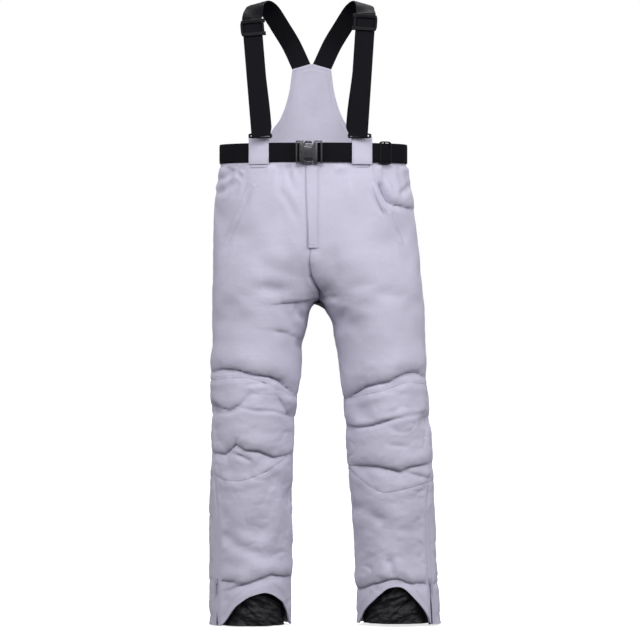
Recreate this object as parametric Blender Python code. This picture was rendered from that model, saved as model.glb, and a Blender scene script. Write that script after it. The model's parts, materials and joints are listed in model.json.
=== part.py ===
"""Insulated ski trousers with suspenders and a webbing belt, standing as worn.

Metres, +Z up, the front faces -Y and the wearer's left is +X. The origin is the centre of the waist
opening, level with the waistband's top edge. Every sewn panel is a thin shell lying on one smooth
surface, skin(), which is set out by the measurement chart below.
"""

import math

import bmesh
import bpy
import numpy as np
from mathutils import Matrix, Vector

# The measurement chart, from the waist's top edge to the hem. Each row is a height, the outer and
# inner edge of the right leg and of the left leg from the centre line, the half depth from front to
# back, and the middle of that depth. The left leg stands a little further out than the right one.
CHART = np.array((
    # height, right out, in,   left out, in,     half depth, middle
    (0.000, 0.1915, 0.0000, 0.1925, 0.0000, 0.100, 0.000),
    (-0.045, 0.1930, 0.0000, 0.1945, 0.0000, 0.102, 0.000),
    (-0.120, 0.2030, 0.0000, 0.2070, 0.0000, 0.115, 0.004),
    (-0.220, 0.2070, 0.0000, 0.2170, 0.0000, 0.123, 0.010),
    (-0.330, 0.2100, 0.0010, 0.2275, 0.0010, 0.116, 0.010),
    (-0.355, 0.2090, 0.0090, 0.2285, 0.0310, 0.112, 0.009),
    (-0.400, 0.2090, 0.0185, 0.2305, 0.0430, 0.107, 0.006),
    (-0.485, 0.2130, 0.0280, 0.2345, 0.0560, 0.098, 0.001),
    (-0.593, 0.2090, 0.0400, 0.2430, 0.0660, 0.087, -0.006),
    (-0.700, 0.2140, 0.0420, 0.2490, 0.0740, 0.082, -0.002),
    (-0.840, 0.2150, 0.0435, 0.2546, 0.0830, 0.079, 0.004),
    (-1.000, 0.2150, 0.0460, 0.2640, 0.0900, 0.081, 0.006),
))
SIGN = {"right": -1, "left": 1}
SIDES = ("right", "left")

# Heights of the seams and edges
WAIST_SEAM_Z = -0.045
CROTCH_Z = -0.330
RISE_HEIGHT = 0.200  # the front and back rise straighten out this far above the crotch
SEAM_TURN = 0.100  # below the knee the side seam swings forward by this share of the ring
KNEE_TOP_Z = -0.485
KNEE_Z = -0.593
KNEE_BOTTOM_Z = -0.700
HEM_Z = -0.998
LINING_BOTTOM_Z = -0.855
GAITER_TOP_Z = -0.868
GAITER_BOTTOM_Z = -0.985

# Thicknesses and clearances
SEAM_GAP = 0.0003  # half of the gap left at each sewn seam
SHELL = 0.0020  # outer cloth with its wadding
LINING_DEPTH = 0.0050  # how far the quilted lining lies inside the outer surface
LINING = 0.0015
BAND = 0.0030  # the waistband's layers
WEBBING = 0.0018
WEBBING_WIDTH = 0.040
HALF_WEB = WEBBING_WIDTH / 2

# Zips: half widths of the slots that the tapes lie in
FLY_SLOT = 0.0060
LEG_SLOT = 0.0075
FLY_TOP_Z, FLY_BOTTOM_Z = -0.052, -0.212
LEG_ZIP_TOP_Z = -0.800
LEG_SLIDER_Z = -0.905
LEG_PULL_PIVOT = (0.0042, 0.0, -0.0045)  # in the frame of the slider
FLY_RUN_INSET = 0.0014  # the slider's straight run ends this far inside the surface

# Belt and buckle
BELT_TOP_Z, BELT_BOTTOM_Z = -0.0005, -0.0405
BELT_OUT = 0.0006  # the belt's inner face stands this far off the waistband
BELT_OUT_DOUBLED = 0.0030  # and this far where the returned end lies under it
BUCKLE_X = -0.0080
BUCKLE_Z = -0.0205
BUCKLE_BACK_Y = -0.1049
ADJUSTER_X = 0.1440

# Suspenders: the slider sits on the straight front run, which leaves the ring at STRAP_FOOT
STRAP_FOOT = {"right": (-0.1062, -0.1085, 0.0142), "left": (0.0925, -0.1085, 0.0142)}
STRAP_SLIDER = {"right": (-0.1245, -0.0985, 0.2350), "left": (0.1078, -0.0985, 0.2460)}
STRAP_TOP = {
    "right": ((-0.1244, -0.0840, 0.2620), (-0.1195, -0.0480, 0.2850), (-0.1080, 0.0000, 0.2940),
              (-0.0890, 0.0480, 0.2810), (-0.0680, 0.0790, 0.2505), (-0.0480, 0.0966, 0.2190)),
    "left": ((0.1086, -0.0840, 0.2690), (0.1070, -0.0480, 0.2860), (0.0995, 0.0000, 0.2935),
             (0.0830, 0.0480, 0.2810), (0.0620, 0.0790, 0.2505), (0.0420, 0.0966, 0.2190)),
}
STRAP_END = {"right": (-0.0222, 0.0985, 0.1640), "left": (0.0162, 0.0986, 0.1640)}
RING_Z = 0.0128

# The front tabs: the middle of each from the centre line, how far it stands over the belt, its fold
TAB_MIDDLE = {"right": 0.1100, "left": 0.0990}
TAB_CLEAR = {"right": 0.0046, "left": 0.0070}
TAB_FOLD_Z = 0.0118
SHOULDER_Z = 0.264  # above this height the straps turn over the shoulder

# The back bib: height and half width of its outline, its middle and the fall of its peaked top edge
BIB_OUTLINE = np.array(((0.0015, 0.103), (0.0195, 0.0918), (0.040, 0.0803), (0.057, 0.0676), (0.0735, 0.0602),
                        (0.107, 0.0497), (0.158, 0.0418), (0.177, 0.0393)))
BIB_MIDDLE_X = -0.0030
BIB_TOP_Z = 0.1765
BIB_PEAK = 0.0120

LAVENDER = (0.52, 0.50, 0.60)
LIGHT_LAVENDER = (0.56, 0.54, 0.64)
BLACK = (0.012, 0.012, 0.015)
DARK_PLASTIC = (0.035, 0.035, 0.040)
METAL = (0.55, 0.55, 0.56)


# ---------------------------------------------------------------- building helpers

def clear_scene():
    for obj in list(bpy.data.objects):
        bpy.data.objects.remove(obj, do_unlink=True)


def finish_material(name, color, roughness, metallic=0.0):
    material = bpy.data.materials.new(name)
    material.use_nodes = True
    shader = material.node_tree.nodes["Principled BSDF"]
    shader.inputs["Base Color"].default_value = (*color, 1.0)
    shader.inputs["Roughness"].default_value = roughness
    shader.inputs["Metallic"].default_value = metallic
    return material


def add_object(name, bm, material, origin=(0, 0, 0)):
    """Turns bm, built in world space, into an object whose origin is at the given point."""
    bmesh.ops.recalc_face_normals(bm, faces=bm.faces)
    bmesh.ops.translate(bm, verts=bm.verts, vec=-Vector(origin))
    mesh = bpy.data.meshes.new(name)
    bm.to_mesh(mesh)
    bm.free()
    mesh.materials.append(finish_material(name, *material))
    obj = bpy.data.objects.new(name, mesh)
    obj.location = origin
    bpy.context.scene.collection.objects.link(obj)
    return obj


def add_sheet(name, material, front, back, origin=(0, 0, 0)):
    """A closed shell between two grids of points, each a list of rows of equal length."""
    bm = bmesh.new()
    grids = [[[bm.verts.new(p) for p in row] for row in grid] for grid in (front, back)]
    rows, columns = len(front), len(front[0])
    for grid in grids:
        for r in range(rows - 1):
            for c in range(columns - 1):
                bm.faces.new((grid[r][c], grid[r][c + 1], grid[r + 1][c + 1], grid[r + 1][c]))
    border = [(0, c) for c in range(columns)] + [(r, columns - 1) for r in range(1, rows)]
    border += [(rows - 1, c) for c in range(columns - 2, -1, -1)] + [(r, 0) for r in range(rows - 2, 0, -1)]
    for (r0, c0), (r1, c1) in zip(border, border[1:] + border[:1]):
        bm.faces.new((grids[0][r0][c0], grids[0][r1][c1], grids[1][r1][c1], grids[1][r0][c0]))
    return add_object(name, bm, material, origin)


def add_blocks(name, material, boxes, place=Matrix.Identity(4), cuts=(), origin=(0, 0, 0)):
    """One solid from boxes that share faces, less the cuts. A box is its low and its high corner."""
    lines = [sorted({round(corner[axis], 6) for box in (*boxes, *cuts) for corner in box}) for axis in range(3)]
    counts = [len(line) - 1 for line in lines]

    def within(cell, group):
        middle = [(lines[a][cell[a]] + lines[a][cell[a] + 1]) / 2 for a in range(3)]
        return any(all(box[0][a] < middle[a] < box[1][a] for a in range(3)) for box in group)

    filled = {cell for cell in np.ndindex(*counts) if within(cell, boxes) and not within(cell, cuts)}
    bm = bmesh.new()
    made = {}

    def corner(i, j, k):
        if (i, j, k) not in made:
            made[i, j, k] = bm.verts.new(place @ Vector((lines[0][i], lines[1][j], lines[2][k])))
        return made[i, j, k]

    for cell in sorted(filled):
        for axis in range(3):
            for step in (0, 1):
                beside = list(cell)
                beside[axis] += 2 * step - 1
                if tuple(beside) in filled:
                    continue
                one, two = [a for a in range(3) if a != axis]
                ring = []
                for add_one, add_two in ((0, 0), (1, 0), (1, 1), (0, 1)):
                    index = list(cell)
                    index[axis] += step
                    index[one] += add_one
                    index[two] += add_two
                    ring.append(corner(*index))
                bm.faces.new(ring)
    return add_object(name, bm, material, origin)


def add_disc(name, material, centre, normal, radius, thickness, sides=16):
    bm = bmesh.new()
    place = Matrix.Translation(centre) @ Vector(normal).to_track_quat("Z", "Y").to_matrix().to_4x4()
    bmesh.ops.create_cone(bm, cap_ends=True, segments=sides, radius1=radius, radius2=radius,
                          depth=thickness, matrix=place)
    return add_object(name, bm, material, centre)


def smooth_values(at, heights, values):
    """A smooth curve through the values of a chart, read at one height."""
    slopes = np.gradient(values, heights)
    i = int(np.clip(np.searchsorted(heights, at) - 1, 0, len(heights) - 2))
    step = heights[i + 1] - heights[i]
    t = float(np.clip((at - heights[i]) / step, 0, 1))
    return ((2 * t**3 - 3 * t**2 + 1) * values[i] + (t**3 - 2 * t**2 + t) * step * slopes[i]
            + (3 * t**2 - 2 * t**3) * values[i + 1] + (t**3 - t**2) * step * slopes[i + 1])


def smooth_path(points, per_span):
    """Points on a smooth curve through the given ones."""
    points = np.array(points, float)
    lengths = np.concatenate([[0], np.cumsum(np.linalg.norm(np.diff(points, axis=0), axis=1))])
    places = np.concatenate([np.linspace(a, b, per_span, endpoint=False) for a, b in zip(lengths, lengths[1:])])
    places = np.append(places, lengths[-1])
    return [Vector([smooth_values(at, lengths, points[:, axis]) for axis in range(3)]) for at in places]


# ---------------------------------------------------------------- the trousers' surface

HEIGHTS = CHART[::-1, 0]
# A ring between the leg's and the seat's is shallower than both, so its depth is made up by this much
DEPTH_GAIN = [1 / max((1 - k / 100) * math.sin(math.radians(2 * a)) + k / 100 * math.cos(math.radians(a))
                      for a in range(0, 91, 3)) for k in range(101)]


def measures(side, z):
    """Outer edge, inner edge, half depth and middle of one leg at a height."""
    first = 1 if side == "right" else 3
    outer, inner, depth, middle = (smooth_values(z, HEIGHTS, CHART[::-1, column])
                                   for column in (first, first + 1, 5, 6))
    return outer, max(inner, SEAM_GAP), depth, middle


def turned(u, z):
    """u measured from the side seam, as a share of the ring measured from the side."""
    t = min(max((KNEE_TOP_Z - z) / (KNEE_TOP_Z - LEG_ZIP_TOP_Z), 0), 1)
    seam = 0.5 - SEAM_TURN * t * t * (3 - 2 * t)
    return u * seam / 0.5 if u < 0.5 else 1 - (1 - u) * (1 - seam) / 0.5


def skin(side, u, z):
    """The outer surface of one half: u runs from the inseam round the front, 0.5 is the side seam.

    Below the crotch a ring is the leg's ellipse. Above it, it opens into half of the seat's ellipse,
    so that its two ends run up the front rise and the back rise in the centre plane.
    """
    outer, inner, depth, middle = measures(side, z)
    u = turned(u, z)
    leg_angle = math.pi * (2 * u - 1)
    seat_angle = math.pi * (u - 0.5)
    leg = ((outer + inner) / 2 + (outer - inner) / 2 * math.cos(leg_angle), depth * math.sin(leg_angle))
    seat = (outer * math.cos(seat_angle), depth * math.sin(seat_angle))
    climb = min(max((z - CROTCH_Z) / RISE_HEIGHT, 0), 1)
    share = math.sqrt(1 - (1 - climb) ** 2)
    x = leg[0] + (seat[0] - leg[0]) * share
    y = (leg[1] + (seat[1] - leg[1]) * share) * DEPTH_GAIN[round(share * 100)]
    return Vector((SIGN[side] * max(x, SEAM_GAP), middle + y, z))


def outward(side, u, z):
    du, dz = 0.004, 0.002
    along = skin(side, min(u + du, 1), z) - skin(side, max(u - du, 0), z)
    up = skin(side, u, min(z + dz, 0)) - skin(side, u, z - dz)
    return (along.cross(up) * SIGN[side]).normalized()


def off_skin(side, u, z, out):
    """A point standing out from the surface, or inside it when out is negative."""
    p = skin(side, u, z) + outward(side, u, z) * out
    p.z = min(p.z, 0.0) if z == 0 else p.z
    p.x = SIGN[side] * max(abs(p.x), SEAM_GAP) if p.x * SIGN[side] > 0 else SIGN[side] * SEAM_GAP
    return p


def u_for_x(side, x, z):
    """Where the front half of a ring reaches a distance x from the centre line."""
    low, high = 0.0, 0.5
    for _ in range(30):
        middle = (low + high) / 2
        if abs(skin(side, middle, z).x) < abs(x):
            low = middle
        else:
            high = middle
    return (low + high) / 2


def inset_u(side, u, z, inset):
    """u moved along the ring by a distance in metres."""
    speed = (skin(side, min(u + 0.01, 1), z) - skin(side, max(u - 0.01, 0), z)).length
    span = min(u + 0.01, 1) - max(u - 0.01, 0)
    return u + inset * span / speed


def spread(first, last, steps):
    return [first + (last - first) * i / steps for i in range(steps + 1)]


def panel(name, side, columns, heights, out, thickness, material, insets=None, origin=(0, 0, 0)):
    """A shell over a stretch of the surface. insets(z) gives how far its two edges keep back."""
    insets = insets or (lambda z: (SEAM_GAP, SEAM_GAP))
    front, back = [], []
    for z in heights:
        keep_first, keep_last = insets(z)
        low = inset_u(side, columns[0], z, keep_first)
        high = inset_u(side, columns[-1], z, -keep_last)
        us = [low] + [min(max(u, low + 0.002), high - 0.002) for u in columns[1:-1]] + [high]
        front.append([off_skin(side, u, z, out) for u in us])
        back.append([off_skin(side, u, z, out - thickness) for u in us])
    return add_sheet(name, material, front, back, origin)


RISE_HEIGHTS = [CROTCH_Z + RISE_HEIGHT * (1 - math.cos(math.radians(a))) for a in (90, 72, 54, 36, 18)]
UPPER_HEIGHTS = [WAIST_SEAM_Z - 0.0003, -0.088, *RISE_HEIGHTS, CROTCH_Z, -0.342, -0.365, -0.420,
                 KNEE_TOP_Z + SEAM_GAP]
KNEE_HEIGHTS = spread(KNEE_TOP_Z - SEAM_GAP, KNEE_BOTTOM_Z + SEAM_GAP, 4)
LOWER_HEIGHTS = [KNEE_BOTTOM_Z - SEAM_GAP, -0.750, LEG_ZIP_TOP_Z + 0.002, LEG_ZIP_TOP_Z - 0.002, -0.900, HEM_Z]
FRONT_COLUMNS = spread(0.0, 0.5, 8)
BACK_COLUMNS = spread(0.5, 1.0, 8)
ALL_COLUMNS = spread(0.0, 1.0, 16)
CLOTH = (LAVENDER, 0.75)
CLOTH_LIGHT = (LIGHT_LAVENDER, 0.75)
NYLON = (BLACK, 0.6)
PLASTIC = (DARK_PLASTIC, 0.3)
ZIP_METAL = (METAL, 0.35, 1.0)


def knee_pivot(side):
    outer, inner, _, middle = measures(side, KNEE_Z)
    return (SIGN[side] * (outer + inner) / 2, middle, KNEE_Z)


def front_insets(z):
    return (FLY_SLOT if FLY_BOTTOM_Z < z else SEAM_GAP, SEAM_GAP)


def leg_zip_insets(front_half):
    def insets(z):
        keep = LEG_SLOT if z < LEG_ZIP_TOP_Z else SEAM_GAP
        return (SEAM_GAP, keep) if front_half else (keep, SEAM_GAP)
    return insets


def leg_pieces(side):
    knee = knee_pivot(side)
    panel(f"{side}_front_panel", side, FRONT_COLUMNS, UPPER_HEIGHTS, 0, SHELL, CLOTH, front_insets)
    panel(f"{side}_back_panel", side, BACK_COLUMNS, UPPER_HEIGHTS, 0, SHELL, CLOTH)
    panel(f"{side}_knee_panel", side, FRONT_COLUMNS, KNEE_HEIGHTS, 0, SHELL, CLOTH)
    panel(f"{side}_back_knee_panel", side, BACK_COLUMNS, KNEE_HEIGHTS, 0, SHELL, CLOTH)
    panel(f"{side}_lower_front_panel", side, FRONT_COLUMNS, LOWER_HEIGHTS, 0, SHELL, CLOTH,
          leg_zip_insets(True), knee)
    panel(f"{side}_lower_back_panel", side, BACK_COLUMNS, LOWER_HEIGHTS, 0, SHELL, CLOTH,
          leg_zip_insets(False), knee)
    lining_heights = UPPER_HEIGHTS[:-1] + [KNEE_TOP_Z, *KNEE_HEIGHTS[1:-1], KNEE_BOTTOM_Z]
    lining_heights += [-0.780, LINING_BOTTOM_Z]
    panel(f"{side}_quilted_lining", side, ALL_COLUMNS, lining_heights, -LINING_DEPTH, LINING, NYLON)


def gaiter(side):
    """The elasticated inner sleeve that closes round the boot."""
    heights = spread(GAITER_TOP_Z, GAITER_BOTTOM_Z, 3)
    depths = (0.0050, 0.0090, 0.0115, 0.0140)
    front, back = [], []
    for z, depth in zip(heights, depths):
        us = [inset_u(side, 0, z, 0.001), *ALL_COLUMNS[1:-1], inset_u(side, 1, z, -0.001)]
        front.append([off_skin(side, u, z, -depth) for u in us])
        back.append([off_skin(side, u, z, -depth - 0.0012) for u in us])
    add_sheet(f"{side}_snow_gaiter", NYLON, front, back, knee_pivot(side))


def leg_zip(side):
    """Two tapes in the side seam, the slider on them, and its pull hanging from it."""
    knee = knee_pivot(side)
    heights = [LEG_ZIP_TOP_Z - 0.003, LEG_SLIDER_Z, HEM_Z]
    for name, first, last in (("front", -0.0070, -0.0004), ("rear", 0.0004, 0.0070)):
        grids = [[[off_skin(side, inset_u(side, 0.5, z, inset), z, out) for inset in (first, last)]
                  for z in heights] for out in (-0.0004, -0.0016)]
        add_sheet(f"{side}_leg_zip_tape_{name}", NYLON, *grids, origin=knee)
    place = zip_frame(side)
    slider = place.translation
    add_blocks(f"{side}_leg_zip_slider", ZIP_METAL,
               (((0.0011, -0.0040, -0.0060), (0.0029, 0.0040, 0.0060)),
                ((0.0029, -0.0010, -0.0028), (0.0048, 0.0010, 0.0030))), place, origin=slider)
    pivot = place @ Vector(LEG_PULL_PIVOT)
    add_blocks(f"{side}_leg_zip_pull", ZIP_METAL,
               (((0.0037, -0.0030, -0.0080), (0.0047, 0.0030, -0.0038)),
                ((0.0037, -0.0025, -0.0280), (0.0047, 0.0025, -0.0080))), place, origin=pivot)


def zip_frame(side):
    """At the leg zip's slider: local X points out of the leg, local Z up along the zip."""
    up = (skin(side, 0.5, -0.83) - skin(side, 0.5, -0.97)).normalized()
    out = outward(side, 0.5, LEG_SLIDER_Z)
    out = (out - up * out.dot(up)).normalized()
    across = up.cross(out)
    frame = Matrix((out, across, up)).transposed().to_4x4()
    frame.translation = skin(side, 0.5, LEG_SLIDER_Z)
    return frame


# ---------------------------------------------------------------- waist, fly and pockets

def waistband(side):
    panel(f"{side}_waistband", side, ALL_COLUMNS, (-0.0002, -0.0225, WAIST_SEAM_Z), 0, BAND, CLOTH)


def centre_run(side, offsets, heights, out):
    """Points on the front at given distances from the centre line."""
    return [[off_skin(side, u_for_x(side, x, z), z, out) for x in offsets] for z in heights]


def fly():
    """The flap over the fly, the zip's two tapes behind the opening and the slider between them."""
    heights = spread(FLY_TOP_Z + 0.004, FLY_BOTTOM_Z - 0.004, 6)
    flap = []
    for out in (0.0052, 0.0036):
        right = centre_run("right", (0.0135, 0.0068), heights, out)
        left = centre_run("left", (0.0, 0.0068, 0.0135), heights, out)
        flap.append([r + l for r, l in zip(right, left)])
    add_sheet("fly_flap", CLOTH, *flap)
    for side in SIDES:
        heights = [FLY_TOP_Z, *(z for z in UPPER_HEIGHTS if FLY_BOTTOM_Z < z < FLY_TOP_Z)]
        grids = [centre_run(side, (0.0004, 0.0070, 0.0130), heights, out) for out in (-0.0038, -0.0045)]
        add_sheet(f"{side}_fly_zip_tape", NYLON, *grids)
    place = fly_frame()
    add_blocks("fly_zip_slider", ZIP_METAL,
               (((-0.0040, -0.0024, -0.0060), (0.0040, -0.0006, 0.0060)),
                ((-0.0025, -0.0024, -0.0260), (0.0025, -0.0012, -0.0060))), place, origin=place.translation)
    for name, out, radius in (("waist_snap_cap", 0.0013, 0.0070), ("waist_snap_socket", -0.0045, 0.0060)):
        u = u_for_x("right", 0.0100, -0.022)
        centre = off_skin("right", u, -0.022, out)
        add_disc(name, ZIP_METAL, centre, outward("right", u, -0.022), radius, 0.0018)


def fly_frame():
    """At the closed fly slider: local -Y points out of the front, local Z up along the zip."""
    top = off_skin("left", 0, FLY_TOP_Z - 0.010, 0.0)
    bottom = off_skin("left", 0, FLY_BOTTOM_Z + 0.020, -FLY_RUN_INSET)
    up = (top - bottom).normalized()
    across = Vector((1, 0, 0))
    frame = Matrix((across, up.cross(across), up)).transposed().to_4x4()
    frame.translation = Vector((0, top.y, top.z))
    return frame


def pocket(side):
    """A slanted hand pocket: the welt sewn round its mouth and the bag lying flat inside the panel."""
    welt = []
    for out in (0.0030, 0.0014):
        rows = []
        for t in spread(0, 1, 9):
            x, z = 0.126 + 0.050 * t + 0.006 * t * t, -0.082 - 0.128 * t
            rows.append([off_skin(side, u_for_x(side, x + step, z + 0.4 * step), z + 0.4 * step, out)
                         for step in (-0.010, 0.010)])
        welt.append(rows)
    add_sheet(f"{side}_pocket_welt", CLOTH_LIGHT, *welt)
    bag = [[[off_skin(side, u, z, out) for u in FRONT_COLUMNS[2:6]] for z in RISE_HEIGHTS[:4]]
           for out in (-0.0026, -0.0040)]
    add_sheet(f"{side}_pocket_bag", NYLON, *bag)


def crotch_gusset():
    """The small diamond let in under the crossing of the four seams, seen from below."""
    front, back = [], []
    for w in (-1, 0, 1):
        side = "left" if w > 0 else "right"
        z = CROTCH_Z - 0.012 * abs(w)
        rows = [[], []]
        for v in spread(-1, 1, 4):
            u = (0.045 * v * (1 - 0.5 * abs(w))) % 1.0
            for row, out in zip(rows, (0.0014, 0.0005)):
                p = off_skin(side, u, z, out)
                row.append(Vector((0, p.y, CROTCH_Z - out - 0.0012)) if w == 0 else p)
        front.append(rows[0])
        back.append(rows[1])
    add_sheet("crotch_gusset", (DARK_PLASTIC, 0.8), front, back)


# ---------------------------------------------------------------- belt

def belt_out(side, u):
    """The belt stands further off where its returned end lies under it, in front of the left hip."""
    if side == "right":
        return BELT_OUT
    fade = min(max((u - 0.36) / 0.10, 0), 1)
    return BELT_OUT_DOUBLED + (BELT_OUT - BELT_OUT_DOUBLED) * fade


def belt_strip(name, route, origin=(0, 0, 0)):
    """A strip of webbing round the waist: route lists side, u and the stand-off of its inner face."""
    grids = []
    for extra in (WEBBING, 0):
        line = []
        for side, u, out in route:
            p = off_skin(side, u, BELT_BOTTOM_Z, out + extra)
            line.append(Vector((0, p.y, p.z)) if u == 1 else p)
        grids.append([[Vector((p.x, p.y, z)) for p in line] for z in (BELT_TOP_Z, BELT_BOTTOM_Z)])
    return add_sheet(name, (BLACK, 0.7), *grids, origin=origin)


def belt():
    z = BUCKLE_Z
    start = u_for_x("left", BUCKLE_X + 0.0228, z)
    end = u_for_x("right", 0.1110, z)
    left_us = [start, *(u for u in ALL_COLUMNS if start + 0.01 < u <= 1)]
    right_us = [*(u for u in ALL_COLUMNS[::-1] if end + 0.01 < u < 1), end]
    left = [("left", u, belt_out("left", u)) for u in left_us]
    right = [("right", u, BELT_OUT) for u in right_us]
    belt_strip("belt_webbing", left + right)
    plug_u = u_for_x("right", 0.0352, z)
    tab_u = u_for_x("right", 0.1104, z)
    middle = [u for u in ALL_COLUMNS if plug_u + 0.01 < u < tab_u - 0.01]
    belt_strip("belt_right_end", [("right", u, BELT_OUT) for u in (plug_u, *middle, tab_u)])
    adjuster_u = u_for_x("left", ADJUSTER_X - 0.0030, z)
    middle = [u for u in ALL_COLUMNS if start + 0.01 < u < adjuster_u - 0.01]
    belt_strip("belt_returned_end", [("left", u, BELT_OUT) for u in (start, *middle, adjuster_u)])


def buckle():
    """A side-release buckle: hollow socket, plug with its guide tongue, and the plug's two spring arms."""
    place = Matrix.Translation((BUCKLE_X, BUCKLE_BACK_Y, BUCKLE_Z))
    half, rail, window = 0.0238, 0.0209, 0.0188
    edges = ((-half, -rail), (rail, half))
    socket = [((-0.0160, -0.0120, -half), (0.0160, 0.0, half))]
    socket.append(((0.0240, -0.0100, -half), (0.0270, -0.0020, half)))
    socket += [((0.0160, -0.0100, low), (0.0240, -0.0020, high)) for low, high in edges]
    cavity = [((-0.0160, -0.0096, -window), (0.0120, -0.0024, window))]
    for low, high in ((-half, -window), (window, half)):
        cavity.append(((-0.0095, -0.0096, low), (0.0085, -0.0024, high)))
    add_blocks("buckle_socket", PLASTIC, socket, place, cavity)
    plug = [((-0.0272, -0.0100, -half), (-0.0242, -0.0020, half))]
    plug.append(((-0.0196, -0.0092, -half), (-0.0170, -0.0028, half)))
    plug.append(((-0.0170, -0.0076, -0.0030), (0.0085, -0.0044, 0.0030)))
    plug += [((-0.0242, -0.0092, low), (-0.0196, -0.0028, high)) for low, high in edges]
    add_blocks("buckle_plug", PLASTIC, plug, place, origin=place.translation)
    root = Vector((-0.0166, -0.0060, 0.0100))
    for name, turn in (("upper", 1), ("lower", -1)):
        arm = []
        for low_x, high_x, reach in ((-0.0166, -0.0030, 0.0115), (-0.0030, 0.0060, 0.0222)):
            low_z, high_z = sorted((0.0085 * turn, reach * turn))
            arm.append(((low_x, -0.0090, low_z), (high_x, -0.0030, high_z)))
        pivot = place @ Vector((root.x, root.y, root.z * turn))
        add_blocks(f"plug_arm_{name}", PLASTIC, arm, place, origin=pivot)


def adjuster_pivot():
    """The centre of the belt's curve at the adjuster, which slides round it."""
    u = u_for_x("left", ADJUSTER_X, BUCKLE_Z)
    at = skin("left", u, BUCKLE_Z)
    at.z = BUCKLE_Z
    angle = math.atan2(at.y / 0.101, at.x / 0.193)
    wide, deep = 0.193 * math.sin(angle), 0.101 * math.cos(angle)
    radius = (wide**2 + deep**2) ** 1.5 / (0.193 * 0.101)
    normal = outward("left", u, BUCKLE_Z)
    normal.z = 0
    normal.normalize()
    return at - normal * radius, at, normal


def belt_adjuster():
    """A three-bar slide: end bars before the belt, the middle bar behind it, rails along its edges."""
    pivot, at, normal = adjuster_pivot()
    along = Vector((0, 0, 1)).cross(normal)
    place = Matrix((along, normal, Vector((0, 0, 1)))).transposed().to_4x4()
    place.translation = at
    rail, half = 0.0206, 0.0240
    boxes = [((-0.0165, 0.0014, low), (0.0165, 0.0094, high)) for low, high in ((-half, -rail), (rail, half))]
    for low, high in ((-0.0165, -0.0125), (0.0125, 0.0165)):
        boxes.append(((low, 0.0066, -rail), (high, 0.0094, rail)))
    boxes.append(((-0.0018, 0.0014, -rail), (0.0018, 0.0032, rail)))
    add_blocks("belt_adjuster", PLASTIC, boxes, place, origin=pivot)


def tab_strip(name, side, x_low, x_high, profile, material):
    """A strip sewn to the waist that stands over the belt: profile lists heights and stand-offs."""
    grids = [[], []]
    for i, (z, out) in enumerate(profile):
        before, after = profile[max(i - 1, 0)], profile[min(i + 1, len(profile) - 1)]
        fall, rise = after[0] - before[0], after[1] - before[1]
        length = math.hypot(fall, rise)
        for grid, shift in zip(grids, (0.0008, -0.0008)):
            row = []
            for x in spread(x_low, x_high, 2):
                base_z = min(z, BELT_BOTTOM_Z)
                p = off_skin(side, u_for_x(side, x, base_z), base_z, out + shift * -fall / length)
                p.z = z + shift * rise / length
                row.append(p)
            grid.append(row)
    return add_sheet(name, material, *grids)


def front_tab(side):
    """The loop that holds the belt and, in the fold at its top, the suspender's ring."""
    clear = TAB_CLEAR[side]
    middle = TAB_MIDDLE[side]
    end = clear - 0.0062 if side == "left" else -0.0016
    profile = ((-0.0500, 0.0014), (-0.0440, 0.0020), (-0.0424, clear - 0.001), (-0.0400, clear),
               (-0.0200, clear), (0.0020, clear + 0.0004), (0.0095, clear + 0.0012),
               (TAB_FOLD_Z, clear - 0.0006), (TAB_FOLD_Z + 0.0002, clear - 0.0040),
               (0.0095, clear - 0.0058), (0.0020, end))
    tab_strip(f"{side}_front_tab", side, middle - HALF_WEB, middle + HALF_WEB, profile, CLOTH_LIGHT)


def back_loop(side):
    """A narrow belt loop behind the hip."""
    profile = ((-0.0480, 0.0014), (-0.0435, 0.0020), (-0.0415, 0.0042), (-0.0200, 0.0042), (-0.0050, 0.0042),
               (0.0006, 0.0036))
    grids = [[], []]
    for z, out in profile:
        for grid, extra in zip(grids, (0.0007, -0.0007)):
            row = []
            for u in spread(0.800, 0.830, 1):
                p = off_skin(side, u, min(z, BELT_BOTTOM_Z), out + extra)
                p.z = z
                row.append(p)
            grid.append(row)
    add_sheet(f"{side}_back_belt_loop", CLOTH_LIGHT, *grids)


# ---------------------------------------------------------------- suspenders

def ribbon(name, route, width, thickness, shift, material, origin=(0, 0, 0)):
    """Flat webbing along route, its broad face turned away from the middle of the loop it makes."""
    grids = [[], []]
    for i, p in enumerate(route):
        along = (route[min(i + 1, len(route) - 1)] - route[max(i - 1, 0)]).normalized()
        away = Vector((0, p.y, max(p.z - SHOULDER_Z, 0) * 3))
        away = (away - along * away.dot(along)).normalized()
        across = along.cross(away).normalized() * width / 2
        for grid, out in zip(grids, (shift + thickness / 2, shift - thickness / 2)):
            grid.append([p + away * out - across, p + away * out + across])
    return add_sheet(name, material, *grids, origin=origin)


def strap_run(side):
    """The straight front run's direction, upwards, and its sideways and outward directions."""
    foot, slider = Vector(STRAP_FOOT[side]), Vector(STRAP_SLIDER[side])
    up = (slider - foot).normalized()
    out = Vector((0, -1, 0))
    out = (out - up * out.dot(up)).normalized()
    return foot, slider, up, up.cross(out), out


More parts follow.
